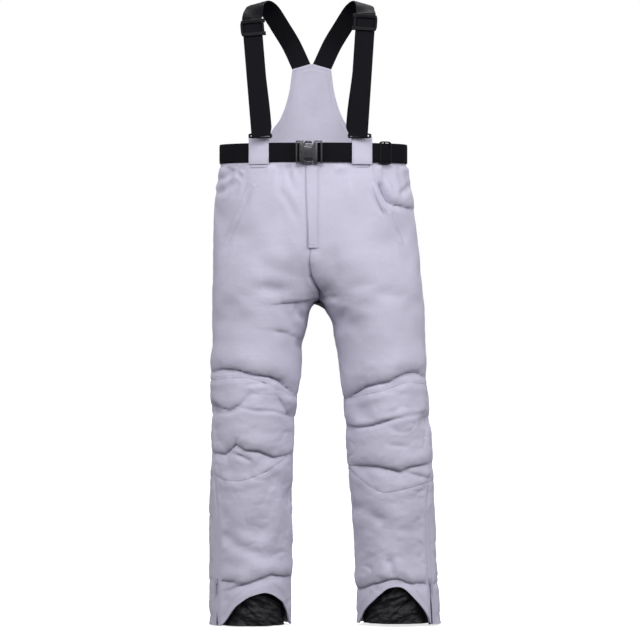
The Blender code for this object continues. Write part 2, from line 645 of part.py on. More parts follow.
def suspender(side):
    """The strap from the bib over the shoulder to the ring, its returned end, the slider and the ring."""
    foot, slider, up, across, out = strap_run(side)
    above = slider + up * 0.018
    route = [foot, foot.lerp(slider, 0.35), foot.lerp(slider, 0.70), slider, above]
    tail = smooth_path([above, *STRAP_TOP[side], STRAP_END[side]], 3)
    ribbon(f"{side}_strap", route + tail[1:], WEBBING_WIDTH, WEBBING, 0.0, NYLON)
    returned = [foot - out * 0.0052, foot.lerp(slider, 0.45) - out * 0.0036,
                slider - up * 0.0032 - out * 0.0026]
    ribbon(f"{side}_strap_returned_end", returned, WEBBING_WIDTH, WEBBING, 0.0, NYLON)
    place = Matrix((across, out, up)).transposed().to_4x4()
    place.translation = slider
    rail, half, tall = 0.0206, 0.0235, 0.0165
    boxes = [((low, -0.0034, -tall), (high, 0.0040, tall)) for low, high in ((-half, -rail), (rail, half))]
    boxes += [((-rail, 0.0014, low), (rail, 0.0040, high)) for low, high in ((-tall, -0.0120), (0.0120, tall))]
    boxes.append(((-rail, -0.0034, -0.0025), (rail, -0.0014, 0.0025)))
    add_blocks(f"{side}_strap_slider", PLASTIC, boxes, place, origin=slider)


def strap_ring(side):
    """The rectangular ring between the tab's fold and the strap's loop."""
    foot = Vector(STRAP_FOOT[side])
    rail, half = 0.0208, 0.0240
    middle = SIGN[side] * (TAB_MIDDLE[side] + abs(foot.x)) / 2
    place = Matrix.Translation((middle, foot.y + 0.0026, RING_Z))
    boxes = [((low, -0.0012, -0.0048), (high, 0.0012, 0.0048)) for low, high in ((-half, -rail), (rail, half))]
    for low, high in ((-0.0048, -0.0022), (0.0022, 0.0048)):
        boxes.append(((-rail, -0.0012, low), (rail, 0.0012, high)))
    add_blocks(f"{side}_strap_ring", PLASTIC, boxes, place)


# ---------------------------------------------------------------- back bib

def bib_point(across, climb, out):
    """A point of the bib: across runs from -1 to 1, climb from 0 at the waist to 1 at the top edge."""
    top = BIB_TOP_Z - BIB_PEAK * abs(across)
    z = BIB_OUTLINE[0, 0] + (top - BIB_OUTLINE[0, 0]) * climb
    half_width = smooth_values(z, BIB_OUTLINE[:, 0], BIB_OUTLINE[:, 1])
    x = BIB_MIDDLE_X + across * half_width
    curve = 0.100 * math.sqrt(max(1 - (x / 0.192) ** 2, 0))
    y = curve + (0.0985 - curve) * 0.6 * min(z / 0.12, 1)
    return Vector((x, y + out, z))


def back_bib():
    """Outer cloth and lining, with room between them for the strap ends sewn in at the top."""
    columns = spread(-1, 1, 6)
    rows = (0, 0.06, 0.18, 0.30, 0.42, 0.60, 0.80, 1.0)
    for name, out, thickness in (("back_bib", 0.0036, 0.0018), ("back_bib_lining", -0.0018, 0.0012)):
        grids = [[[bib_point(a, r, o) for a in columns] for r in rows] for o in (out, out - thickness)]
        add_sheet(name, CLOTH_LIGHT, *grids)


def main():
    clear_scene()
    for side in SIDES:
        leg_pieces(side)
        gaiter(side)
        leg_zip(side)
        waistband(side)
        pocket(side)
        back_loop(side)
        front_tab(side)
        strap_ring(side)
        suspender(side)
    fly()
    crotch_gusset()
    belt()
    buckle()
    belt_adjuster()
    back_bib()


main()
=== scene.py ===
"""Looks for the insulated ski trousers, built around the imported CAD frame.

Metres, in the row frame: +Z up, the front faces -Y, the wearer's left is +X. The sewn cloth is one
grid of points for each half, laid on the same measurement chart as the CAD panels, puffed by a cloth
simulation between its pinned seams, creased where the wearer's stance creases it, and then cut into
the panels along their seams.
"""

import json
import math

import bmesh
import bpy
import numpy as np
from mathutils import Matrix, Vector
from mathutils.bvhtree import BVHTree

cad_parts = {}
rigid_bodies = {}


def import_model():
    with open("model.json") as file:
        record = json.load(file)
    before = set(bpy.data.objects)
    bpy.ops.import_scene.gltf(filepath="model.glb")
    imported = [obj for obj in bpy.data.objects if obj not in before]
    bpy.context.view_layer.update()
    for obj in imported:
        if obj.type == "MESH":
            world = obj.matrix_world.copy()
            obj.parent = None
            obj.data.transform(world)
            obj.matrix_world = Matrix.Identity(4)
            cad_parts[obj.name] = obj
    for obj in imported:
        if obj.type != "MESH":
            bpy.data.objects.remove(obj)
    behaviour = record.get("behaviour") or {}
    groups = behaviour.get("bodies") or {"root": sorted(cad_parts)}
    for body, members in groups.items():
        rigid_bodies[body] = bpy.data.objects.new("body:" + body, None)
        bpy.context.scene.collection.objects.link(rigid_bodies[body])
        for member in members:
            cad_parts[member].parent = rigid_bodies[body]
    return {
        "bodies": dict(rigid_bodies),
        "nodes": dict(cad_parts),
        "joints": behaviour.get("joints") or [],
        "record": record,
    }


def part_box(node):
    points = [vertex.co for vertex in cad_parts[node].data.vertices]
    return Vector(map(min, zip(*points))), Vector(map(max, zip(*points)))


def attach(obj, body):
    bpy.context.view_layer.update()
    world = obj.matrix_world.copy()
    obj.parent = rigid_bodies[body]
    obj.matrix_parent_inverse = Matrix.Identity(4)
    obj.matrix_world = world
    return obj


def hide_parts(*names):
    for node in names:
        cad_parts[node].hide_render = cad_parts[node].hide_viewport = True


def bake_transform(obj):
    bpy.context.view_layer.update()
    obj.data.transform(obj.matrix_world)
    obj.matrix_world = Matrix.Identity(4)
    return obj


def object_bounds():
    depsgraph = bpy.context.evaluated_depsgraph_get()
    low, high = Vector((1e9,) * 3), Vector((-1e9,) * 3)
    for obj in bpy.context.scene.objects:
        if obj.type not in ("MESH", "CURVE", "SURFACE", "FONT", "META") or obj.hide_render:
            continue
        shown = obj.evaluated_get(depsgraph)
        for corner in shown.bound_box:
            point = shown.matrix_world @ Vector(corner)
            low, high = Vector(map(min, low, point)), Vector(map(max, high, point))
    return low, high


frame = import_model()
CAD_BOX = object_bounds()

# ---------------------------------------------------------------- the CAD's measurements, repeated

CHART = np.array((
    # height, right out, in,   left out, in,     half depth, middle
    (0.000, 0.1915, 0.0000, 0.1925, 0.0000, 0.100, 0.000),
    (-0.045, 0.1930, 0.0000, 0.1945, 0.0000, 0.102, 0.000),
    (-0.120, 0.2030, 0.0000, 0.2070, 0.0000, 0.115, 0.004),
    (-0.220, 0.2070, 0.0000, 0.2170, 0.0000, 0.123, 0.010),
    (-0.330, 0.2100, 0.0010, 0.2275, 0.0010, 0.116, 0.010),
    (-0.355, 0.2090, 0.0090, 0.2285, 0.0310, 0.112, 0.009),
    (-0.400, 0.2090, 0.0185, 0.2305, 0.0430, 0.107, 0.006),
    (-0.485, 0.2130, 0.0280, 0.2345, 0.0560, 0.098, 0.001),
    (-0.593, 0.2090, 0.0400, 0.2430, 0.0660, 0.087, -0.006),
    (-0.700, 0.2140, 0.0420, 0.2490, 0.0740, 0.082, -0.002),
    (-0.840, 0.2150, 0.0435, 0.2546, 0.0830, 0.079, 0.004),
    (-1.000, 0.2150, 0.0460, 0.2640, 0.0900, 0.081, 0.006),
))
HEIGHTS = CHART[::-1, 0]
SIGN = {"right": -1, "left": 1}
SIDES = ("right", "left")
WAIST_SEAM_Z, CROTCH_Z, RISE_HEIGHT = -0.045, -0.33, 0.2
KNEE_TOP_Z, LEG_ZIP_TOP_Z, SEAM_TURN = -0.485, -0.8, 0.1
KNEE_BOTTOM_Z, HEM_Z = -0.7, -0.998
LINING_BOTTOM_Z, GAITER_TOP_Z = -0.855, -0.868
GAITER_BOTTOM_Z = {"right": -0.998, "left": -0.9935}
FLY_TOP_Z, FLY_BOTTOM_Z = -0.052, -0.212
FLY_SLOT = 0.0058
SEAM_GAP = 0.0003
SEAM_SHUT = 0.00005
SHELL = 0.002
BELT_BOTTOM_Z, BELT_MIDDLE_Z = -0.0405, -0.0205
BELT_OUT, BELT_OUT_DOUBLED = 0.0006, 0.003
WEBBING, WEBBING_WIDTH = 0.0018, 0.04
BUCKLE_X = -0.008
STRAP_FOOT = {"right": (-0.1062, -0.1085, 0.0142), "left": (0.0925, -0.1085, 0.0142)}
STRAP_SLIDER = {"right": (-0.1245, -0.0985, 0.235), "left": (0.1078, -0.0985, 0.246)}
STRAP_TOP = {
    "right": ((-0.1244, -0.084, 0.262), (-0.1195, -0.048, 0.285), (-0.108, 0.0, 0.294),
              (-0.089, 0.048, 0.281), (-0.068, 0.079, 0.2505), (-0.048, 0.0966, 0.219)),
    "left": ((0.1086, -0.084, 0.269), (0.107, -0.048, 0.286), (0.0995, 0.0, 0.2935),
             (0.083, 0.048, 0.281), (0.062, 0.079, 0.2505), (0.042, 0.0966, 0.219)),
}
STRAP_END = {"right": (-0.0222, 0.0985, 0.164), "left": (0.0162, 0.0986, 0.164)}
SHOULDER_Z = 0.264
STRAP_PEEK = {"right": 0.0032, "left": 0.0062}
TAB_MIDDLE = {"right": 0.11, "left": 0.099}
TAB_CLEAR = {"right": 0.0046, "left": 0.007}
BIB_OUTLINE = np.array(((0.0015, 0.103), (0.0195, 0.0918), (0.04, 0.0803), (0.057, 0.0676), (0.0735, 0.0602),
                        (0.107, 0.0497), (0.158, 0.0418), (0.177, 0.0393)))
BIB_MIDDLE_X, BIB_TOP_Z, BIB_PEAK = -0.003, 0.1765, 0.012

# Where the knee seams and the hem run on the front of each leg, as (distance from the centre, height)
KNEE_TOP_LINE = {
    "right": ((0.035, -0.523), (0.07, -0.51), (0.1, -0.494), (0.139, -0.485), (0.17, -0.487),
              (0.205, -0.49)),
    "left": ((0.06, -0.529), (0.095, -0.522), (0.14, -0.512), (0.17, -0.502), (0.19, -0.494),
             (0.235, -0.5)),
}
KNEE_BOTTOM_LINE = {
    "right": ((0.042, -0.634), (0.058, -0.655), (0.089, -0.676), (0.12, -0.69), (0.151, -0.6986),
              (0.185, -0.6966), (0.212, -0.681)),
    "left": ((0.075, -0.676), (0.09, -0.689), (0.118, -0.712), (0.144, -0.7224), (0.17, -0.719),
             (0.2, -0.712), (0.248, -0.698)),
}
HEM_LINE = {
    "right": ((0.04, -0.998), (0.05, -0.997), (0.0512, -0.974), (0.0621, -0.9499), (0.0832, -0.9321),
              (0.1012, -0.9263), (0.1333, -0.9356), (0.1619, -0.9572), (0.1867, -0.9955), (0.19, -0.998),
              (0.22, -0.998)),
    "left": ((0.086, -0.996), (0.0962, -0.994), (0.099, -0.9785), (0.1095, -0.9607), (0.1344, -0.9356),
             (0.1559, -0.9178), (0.1772, -0.9143), (0.1915, -0.9178), (0.2165, -0.9464), (0.2343, -0.9714),
             (0.24, -0.988), (0.244, -0.9955), (0.27, -0.9955)),
}

# Creases on the front, where the cloth above hangs over the cloth below: the line, how deep the
# cloth tucks in, how wide, and how far the upper cloth hangs down over it
FRONT_FOLDS = (
    # wearer's right knee
    (((-0.214, -0.472), (-0.19, -0.464), (-0.156, -0.466), (-0.1225, -0.475), (-0.089, -0.48),
      (-0.068, -0.487), (-0.053, -0.502), (-0.034, -0.518)), 0.0095, 0.014, 0.0045),
    (((-0.206, -0.541), (-0.172, -0.549), (-0.149, -0.536), (-0.137, -0.521)), 0.0045, 0.009, 0.002),
    (((-0.07, -0.524), (-0.054, -0.548), (-0.041, -0.568)), 0.005, 0.01, 0.002),
    (((-0.213, -0.6386), (-0.182, -0.6396), (-0.159, -0.619), (-0.139, -0.632), (-0.11, -0.6345),
      (-0.079, -0.647), (-0.048, -0.642)), 0.0075, 0.012, 0.0035),
    (((-0.16, -0.6386), (-0.128, -0.654)), 0.0035, 0.006, 0.003),
    # wearer's left knee
    (((0.06, -0.529), (0.0818, -0.5154), (0.1076, -0.5), (0.1305, -0.4947), (0.157, -0.4896),
      (0.18, -0.4767), (0.2008, -0.47), (0.216, -0.471), (0.238, -0.484)), 0.0095, 0.014, 0.0045),
    (((0.064, -0.586), (0.0973, -0.585), (0.1232, -0.5806), (0.149, -0.5724), (0.165, -0.569)),
     0.006, 0.01, 0.003),
    (((0.078, -0.6655), (0.11, -0.6645), (0.136, -0.6655), (0.157, -0.6707), (0.18, -0.676),
      (0.2008, -0.6655), (0.2215, -0.663), (0.25, -0.66)), 0.0075, 0.012, 0.0035),
    (((0.199, -0.678), (0.242, -0.692)), 0.003, 0.006, 0.002),
    # inner thighs, under the crotch
    (((-0.066, -0.33), (-0.045, -0.3285), (-0.027, -0.328), (-0.01, -0.324)), 0.005, 0.009, 0.003),
    (((-0.078, -0.386), (-0.052, -0.391), (-0.018, -0.405)), 0.0035, 0.01, 0.002),
    # over the cuffs
    (((-0.204, -0.9015), (-0.161, -0.9036)), 0.004, 0.008, 0.003),
    (((-0.16, -0.915), (-0.122, -0.902), (-0.0876, -0.889), (-0.036, -0.898)), 0.007, 0.01, 0.0035),
    (((0.082, -0.928), (0.116, -0.912), (0.16, -0.897), (0.176, -0.897), (0.196, -0.905)),
     0.007, 0.01, 0.0035),
    (((0.1946, -0.9056), (0.2298, -0.9077), (0.2443, -0.9139), (0.264, -0.907)), 0.005, 0.008, 0.0025),
    # side of the wearer's left pocket
    (((0.16, -0.1245), (0.18, -0.1273), (0.212, -0.1345)), 0.006, 0.008, 0.0025),
)
# Valleys and ridges on the front: the line, the height (below 0 for a valley) and the width
FRONT_RIDGES = (
    # the crotch: a low swell, the crease on it, and the drag lines beside it
    (((-0.002, -0.225), (0.006, -0.262), (0.015, -0.286), (0.024, -0.308)), 0.0032, 0.019),
    (((-0.0083, -0.24), (-0.007, -0.2577), (-0.003, -0.2763), (0.0021, -0.287)), -0.0012, 0.005),
    (((-0.003, -0.278), (0.004, -0.289), (0.011, -0.299), (0.016, -0.3115), (0.0215, -0.33)),
     -0.003, 0.005),
    (((0.0373, -0.206), (0.0435, -0.231), (0.0455, -0.2515), (0.0497, -0.27)), -0.0009, 0.008),
    (((-0.06, -0.334), (-0.05, -0.356), (-0.036, -0.392)), -0.003, 0.009),
    (((-0.036, -0.334), (-0.031, -0.35), (-0.018, -0.366)), -0.004, 0.007),
    (((0.074, -0.338), (0.06, -0.362), (0.05, -0.398)), -0.0022, 0.01),
    (((-0.068, -0.097), (-0.046, -0.13), (-0.034, -0.16)), -0.0018, 0.007),
    (((-0.056, -0.048), (-0.044, -0.08), (-0.036, -0.1)), -0.0016, 0.006),
    (((-0.12, -0.24), (-0.08, -0.262), (-0.03, -0.275)), -0.002, 0.016),
    (((-0.11, -0.292), (-0.07, -0.3), (-0.03, -0.306)), -0.002, 0.012),
    # the wearer's right pocket: drag lines and the line of its mouth
    (((-0.158, -0.05), (-0.176, -0.066), (-0.194, -0.078)), -0.005, 0.006),
    (((-0.166, -0.078), (-0.182, -0.094), (-0.199, -0.106)), -0.0048, 0.007),
    (((-0.159, -0.06), (-0.146, -0.074)), -0.0035, 0.004),
    (((-0.127, -0.1), (-0.151, -0.15), (-0.172, -0.196), (-0.182, -0.224)), -0.0022, 0.006),
    # the wearer's left pocket: its gaping mouth, and a drag line to the side seam
    (((0.1366, -0.079), (0.1415, -0.0963), (0.1511, -0.117), (0.163, -0.13)), -0.01, 0.0075),
    (((0.163, -0.13), (0.178, -0.17), (0.192, -0.212)), -0.003, 0.006),
    (((0.178, -0.108), (0.208, -0.08)), -0.0035, 0.006),
    (((0.1139, -0.0963), (0.1222, -0.1107), (0.1346, -0.1335), (0.151, -0.152), (0.1739, -0.1956),
      (0.1904, -0.2246)), -0.002, 0.004),
    # shins
    (((-0.203, -0.8), (-0.16, -0.829), (-0.11, -0.849), (-0.068, -0.866)), -0.0025, 0.012),
    (((0.156, -0.856), (0.1615, -0.878), (0.165, -0.893)), -0.0036, 0.008),
    (((0.186, -0.888), (0.192, -0.902), (0.19, -0.912)), -0.0022, 0.006),
    (((0.09, -0.74), (0.12, -0.772), (0.15, -0.784)), -0.0025, 0.012),
)
# Dents on the front: the middle, the depth and the radius
FRONT_DENTS = (
    (-0.208, -0.551, 0.015, 0.013), (-0.04, -0.562, 0.006, 0.014), (-0.044, -0.728, 0.006, 0.016),
    (0.24, -0.572, 0.014, 0.014), (0.066, -0.586, 0.006, 0.014), (0.082, -0.759, 0.006, 0.016),
    (0.103, -0.56, 0.008, 0.02), (-0.024, -0.417, 0.006, 0.011), (0.0414, -0.32, 0.003, 0.008),
)
# The same on the back, where the seat and the backs of the knees crease
BACK_FOLDS = (
    (((-0.205, -0.56), (-0.15, -0.572), (-0.09, -0.575), (-0.04, -0.566)), 0.0055, 0.012, 0.003),
    (((-0.19, -0.622), (-0.13, -0.634), (-0.06, -0.628)), 0.0036, 0.012, 0.002),
    (((-0.17, -0.518), (-0.11, -0.527), (-0.05, -0.52)), 0.0028, 0.011, 0.0015),
    (((0.068, -0.57), (0.12, -0.581), (0.18, -0.578), (0.24, -0.564)), 0.0055, 0.012, 0.003),
    (((0.085, -0.634), (0.15, -0.64), (0.225, -0.628)), 0.0036, 0.012, 0.002),
    (((0.08, -0.524), (0.14, -0.533), (0.205, -0.522)), 0.0028, 0.011, 0.0015),
    (((-0.15, -0.352), (-0.09, -0.346), (-0.03, -0.326)), 0.0045, 0.014, 0.003),
    (((0.045, -0.33), (0.1, -0.35), (0.165, -0.356)), 0.0045, 0.014, 0.003),
    (((-0.205, -0.905), (-0.13, -0.913), (-0.048, -0.906)), 0.005, 0.011, 0.002),
    (((0.09, -0.915), (0.17, -0.922), (0.258, -0.912)), 0.005, 0.011, 0.002),
)
BACK_RIDGES = (
    (((-0.03, -0.18), (-0.08, -0.23), (-0.15, -0.26)), -0.0022, 0.014),
    (((0.035, -0.19), (0.09, -0.238), (0.16, -0.262)), -0.0022, 0.014),
    (((-0.06, -0.39), (-0.11, -0.43), (-0.17, -0.445)), -0.0025, 0.012),
    (((0.08, -0.4), (0.13, -0.436), (0.19, -0.45)), -0.0025, 0.012),
    (((-0.19, -0.76), (-0.12, -0.785), (-0.06, -0.775)), -0.003, 0.012),
    (((0.105, -0.765), (0.17, -0.795), (0.24, -0.78)), -0.003, 0.012),
)
# The seam across the front of each knee
KNEE_MIDDLE_LINE = {
    "right": ((-0.206, -0.557), (-0.172, -0.557), (-0.149, -0.5455), (-0.118, -0.5517), (-0.0787, -0.5537),
              (-0.044, -0.566)),
    "left": ((0.069, -0.586), (0.0973, -0.586), (0.1232, -0.5816), (0.149, -0.5734), (0.1615, -0.57),
             (0.19, -0.564), (0.236, -0.557)),
}

# Where the centre seam lies below the fly, as (distance to the wearer's left, height)
SEAM_DRIFT = ((0.0, -0.16), (-0.005, -0.214), (-0.007, -0.245), (-0.0025, -0.276), (0.006, -0.292),
              (0.012, -0.305), (0.0135, -0.318), (0.008, -0.334), (0.0, -0.352))
# The top of the gap between the legs, how far it is pushed open, and how far that reaches
GAP, GAP_PUSH, GAP_REACH = (0.0115, -0.347), 0.0072, 0.017

# ---------------------------------------------------------------- numbers


def smoothstep(t):
    t = np.clip(t, 0, 1)
    return t * t * (3 - 2 * t)


def read_curve(at, places, values):
    """A smooth curve through values, read at each of at."""
    slopes = np.gradient(values, places)
    i = np.clip(np.searchsorted(places, at) - 1, 0, len(places) - 2)
    step = places[i + 1] - places[i]
    t = np.clip((at - places[i]) / step, 0, 1)
    return ((2 * t**3 - 3 * t**2 + 1) * values[i] + (t**3 - 2 * t**2 + t) * step * slopes[i]
            + (3 * t**2 - 2 * t**3) * values[i + 1] + (t**3 - t**2) * step * slopes[i + 1])


def unit(v):
    return v / np.maximum(np.linalg.norm(v, axis=-1, keepdims=True), 1e-12)


def bell(t, power=2):
    """1 where t is 0, falling to nearly 0 when t passes 1; a higher power gives a flatter top."""
    return np.exp(-(t**power))


def run_length(path):
    """Distance along a path at each of its points."""
    return np.concatenate([[0], np.cumsum(np.linalg.norm(np.diff(path, axis=0), axis=1))])


def quads_of(index):
    """The four-sided faces between the neighbours in a grid of point numbers."""
    return np.stack((index[:-1, :-1], index[:-1, 1:], index[1:, 1:], index[1:, :-1]), -1).reshape(-1, 4)


def eased(rows):
    """Each inner row evened out with the rows beside it, in place."""
    rows[1:-1] = (rows[:-2] + 2 * rows[1:-1] + rows[2:]) / 4


LATTICE = np.random.RandomState(11).rand(32, 32, 32) * 2 - 1


def noise(p, size, shift=0.0):
    """Smooth noise from -1 to 1 whose bumps are about size across."""
    q = np.asarray(p) / size + shift
    i = np.floor(q).astype(int)
    f = smoothstep(q - i)
    total = 0
    for corner in np.ndindex(2, 2, 2):
        weight = np.prod([f[..., a] if corner[a] else 1 - f[..., a] for a in range(3)], axis=0)
        total = total + weight * LATTICE[tuple((i[..., a] + corner[a]) % 32 for a in range(3))]
    return total


# ---------------------------------------------------------------- the trousers' surface

SHARES = np.arange(101) / 100
QUARTER = np.radians(np.arange(0, 91, 3))
DEPTH_GAIN = 1 / ((1 - SHARES[:, None]) * np.sin(2 * QUARTER) + SHARES[:, None] * np.cos(QUARTER)).max(1)


def skin(side, u, z):
    """The outer surface of one half: u runs from the inseam round the front, 0.5 is the side seam."""
    u, z = np.broadcast_arrays(np.asarray(u, float), np.asarray(z, float))
    first = 1 if side == "right" else 3
    outer, inner, depth, middle = (read_curve(z, HEIGHTS, CHART[::-1, c]) for c in (first, first + 1, 5, 6))
    inner = np.maximum(inner, SEAM_GAP)
    seam = 0.5 - SEAM_TURN * smoothstep((KNEE_TOP_Z - z) / (KNEE_TOP_Z - LEG_ZIP_TOP_Z))
    u = np.where(u < 0.5, u * seam / 0.5, 1 - (1 - u) * (1 - seam) / 0.5)
    leg, seat = math.pi * (2 * u - 1), math.pi * (u - 0.5)
    climb = np.clip((z - CROTCH_Z) / RISE_HEIGHT, 0, 1)
    share = np.sqrt(1 - (1 - climb) ** 2)
    leg_x, leg_y = (outer + inner) / 2 + (outer - inner) / 2 * np.cos(leg), depth * np.sin(leg)
    seat_x, seat_y = outer * np.cos(seat), depth * np.sin(seat)
    x = leg_x + (seat_x - leg_x) * share
    y = (leg_y + (seat_y - leg_y) * share) * np.interp(share, SHARES, DEPTH_GAIN)
    return np.stack((SIGN[side] * np.maximum(x, SEAM_GAP), middle + y, z), -1)


def off_skin(side, u, z, out):
    """A point standing off the surface by out."""
    u, z, out = np.broadcast_arrays(np.asarray(u, float), np.asarray(z, float), np.asarray(out, float))
    along = skin(side, np.minimum(u + 0.004, 1), z) - skin(side, np.maximum(u - 0.004, 0), z)
    up = skin(side, u, np.minimum(z + 0.002, 0)) - skin(side, u, z - 0.002)
    return skin(side, u, z) + unit(np.cross(along, up) * SIGN[side]) * out[..., None]


def u_for_x(side, x, z):
    """Where the front half of a ring reaches a distance x from the centre line."""
    x, z = np.broadcast_arrays(np.abs(np.asarray(x, float)), np.asarray(z, float))
    low, high = np.zeros(x.shape), np.full(x.shape, 0.5)
    for _ in range(24):
        middle = (low + high) / 2
        short = np.abs(skin(side, middle, z)[..., 0]) < x
        low, high = np.where(short, middle, low), np.where(short, high, middle)
    return (low + high) / 2


LEG_SHIFT = {"right": 0.0, "left": 0.0022}  # how much further out the leg stands than the chart says

# The grid: rows down from the waist seam, columns from the inseam round the front to the inseam
COARSE_COLUMNS = 80
RISE_ROWS, THIGH_ROWS, KNEE_ROWS, SHIN_ROWS = 44, 22, 30, 42
COLUMN_U = np.linspace(0, 1, COARSE_COLUMNS + 1)


def seam_height(side, line, back_z):
    """The height of a seam at each column: along its line on the front, near back_z on the back."""
    line = np.array(line[side])
    across = np.abs(skin(side, COLUMN_U, back_z)[:, 0])
    front = np.interp(across, line[:, 0], line[:, 1])
    outer, inner = front[COARSE_COLUMNS // 2], front[0]
    back = np.interp(COLUMN_U, (0.5, 0.64, 0.86, 1.0), (outer, back_z, back_z, inner))
    z = np.where(COLUMN_U <= 0.5, front, back)
    ring = np.concatenate([z[-4:-1], z, z[1:4]])
    smooth = np.convolve(ring, np.array((0, 1, 3, 4, 3, 1, 0)) / 12, "valid")
    smooth[0] = smooth[-1] = (smooth[0] + smooth[-1]) / 2
    return smooth


def rest_grid(side):
    """The grid on the smooth surface, before any puffing or creasing."""
    rise = CROTCH_Z + (WAIST_SEAM_Z - CROTCH_Z) * np.linspace(1, 0, RISE_ROWS + 1) ** 1.2
    top = seam_height(side, KNEE_TOP_LINE, KNEE_TOP_Z)
    bottom = seam_height(side, KNEE_BOTTOM_LINE, KNEE_BOTTOM_Z)
    hem = seam_height(side, HEM_LINE, HEM_Z)
    hem = np.where(COLUMN_U > 0.5, np.minimum(hem, -0.996), hem)
    levels = [np.repeat(rise[:-1, None], len(COLUMN_U), 1)]
    first = np.full(len(COLUMN_U), CROTCH_Z)
    for last, rows in ((top, THIGH_ROWS), (bottom, KNEE_ROWS), (hem, SHIN_ROWS)):
        t = np.linspace(0, 1, rows + 1)[:-1, None]
        levels.append(first + (last - first) * t)
        first = last
    levels.append(hem[None])
    z = np.concatenate(levels)
    grid = skin(side, COLUMN_U[None], z)
    grid[..., 0] += LEG_SHIFT[side] * smoothstep((-0.05 - z) / 0.1) * smoothstep(np.abs(grid[..., 0]) / 0.08)
    near = bell((z - CROTCH_Z) / 0.035) * smoothstep((np.abs(grid[..., 0]) - 0.035) / 0.045)
    smooth = grid.copy()
    for _ in range(30):
        eased(smooth)
    return grid + (smooth - grid) * near[..., None]


def refine(grid):
    """Twice as many rows and columns, on a smooth surface through the same points."""
    for _ in range(2):
        ends = np.concatenate([2 * grid[:1] - grid[1:2], grid, 2 * grid[-1:] - grid[-2:-1]])
        middle = (9 * (ends[1:-2] + ends[2:-1]) - ends[:-3] - ends[3:]) / 16
        finer = np.empty((2 * len(grid) - 1, *grid.shape[1:]))
        finer[::2], finer[1::2] = grid, middle
        grid = np.swapaxes(finer, 0, 1)
    return grid


CROTCH_ROW = 2 * RISE_ROWS
TOP_ROW = CROTCH_ROW + 2 * THIGH_ROWS
BOTTOM_ROW = TOP_ROW + 2 * KNEE_ROWS
LAST_ROW = BOTTOM_ROW + 2 * SHIN_ROWS
LAST_COLUMN = 2 * COARSE_COLUMNS
SIDE_COLUMN = COARSE_COLUMNS


def normals(side, grid):
    """Outward unit normals, the same on both edges of the inseam and flat across the centre seam."""
    wrapped = np.concatenate([grid[:, -2:-1], grid, grid[:, 1:2]], 1)
    along = wrapped[:, 2:] - wrapped[:, :-2]
    along[:CROTCH_ROW + 1, 0] = (grid[:, 1] - grid[:, 0])[:CROTCH_ROW + 1]
    along[:CROTCH_ROW + 1, -1] = (grid[:, -1] - grid[:, -2])[:CROTCH_ROW + 1]
    n = np.cross(along, -np.gradient(grid, axis=0)) * SIGN[side]
    n[:CROTCH_ROW, (0, -1), 0] = 0
    return unit(n)


def line_field(grid, line):
    """Signed distance from a line in the front view, how far along it, and the line's upward normal."""
    p = grid[..., (0, 2)]
    line = np.array(line, float)
    lengths = np.linalg.norm(np.diff(line, axis=0), axis=1)
    starts = np.concatenate([[0], np.cumsum(lengths)])
    best = np.full(p.shape[:-1], np.inf)
    signed, place, normal = np.zeros(best.shape), np.zeros(best.shape), np.zeros(p.shape)
    for a, b, length, start in zip(line, line[1:], lengths, starts):
        d = (b - a) / length
        t = np.clip((p - a) @ d, 0, length)
        off = p - (a + t[..., None] * d)
        distance = np.linalg.norm(off, axis=-1)
        nearer = distance < best
        across = (-d[1], d[0])
        best = np.where(nearer, distance, best)
        signed = np.where(nearer, np.where(off @ across < 0, -1, 1) * distance, signed)
        place = np.where(nearer, (start + t) / starts[-1], place)
        normal = np.where(nearer[..., None], across, normal)
    return signed, place, normal


def facing(grid, front):
    """1 on the front (or back) half, fading out round the sides."""
    middle = read_curve(grid[..., 2], HEIGHTS, CHART[::-1, 6])
    share = smoothstep((middle + 0.025 - grid[..., 1]) / 0.05)
    return share if front else 1 - share


def creased(side, grid, folds, ridges, dents, front):
    """Presses the folds, ridges and dents into the grid."""
    n, weight = normals(side, grid), facing(grid, front)
    out, shift = np.zeros(weight.shape), np.zeros((*weight.shape, 2))
    for line, depth, width, hang in folds:
        s, t, across = line_field(grid, line)
        ends = np.sqrt(np.clip(np.sin(math.pi * np.clip(t * 0.94 + 0.03, 0, 1)) * 1.8, 0, 1))
        above = smoothstep((s + 0.0015) / 0.003)
        climb = np.clip(s / (1.6 * width), 0, 1)
        bulge = -depth + 1.45 * depth * np.sqrt(climb * (2 - climb))
        bulge *= bell(np.maximum(s - 1.6 * width, 0) / (1.8 * width))
        tuck = -depth * np.clip(1 + s / (2.4 * width), 0, 1) ** 1.7
        out += (above * bulge + (1 - above) * tuck) * ends
        hung = hang * bell(np.maximum(s, 0) / (1.5 * width))
        shift -= (above * hung * ends)[..., None] * across
    for line, height, width in ridges:
        s, t, _ = line_field(grid, line)
        ends = np.clip(np.sin(math.pi * np.clip(t * 0.94 + 0.03, 0, 1)) * 1.6, 0, 1)
        profile = bell(s / width) - 0.35 * bell((np.abs(s) - 1.9 * width) / width)
        out += height * profile * ends
    for x, z, depth, radius in dents:
        distance = np.hypot(grid[..., 0] - x, grid[..., 2] - z)
        out -= depth * bell(distance / radius)
    moved = grid + n * (out * weight)[..., None]
    moved[..., 0] += shift[..., 0] * weight
    moved[..., 2] += shift[..., 1] * weight
    return moved


def from_line(grid, line_index, axis):
    """Distance along the cloth from one row or column of the grid."""
    steps = np.linalg.norm(np.diff(grid, axis=axis), axis=-1)
    total = np.concatenate([np.zeros_like(np.take(steps, [0], axis)), np.cumsum(steps, axis=axis)], axis)
    return np.abs(total - np.take(total, [line_index], axis))


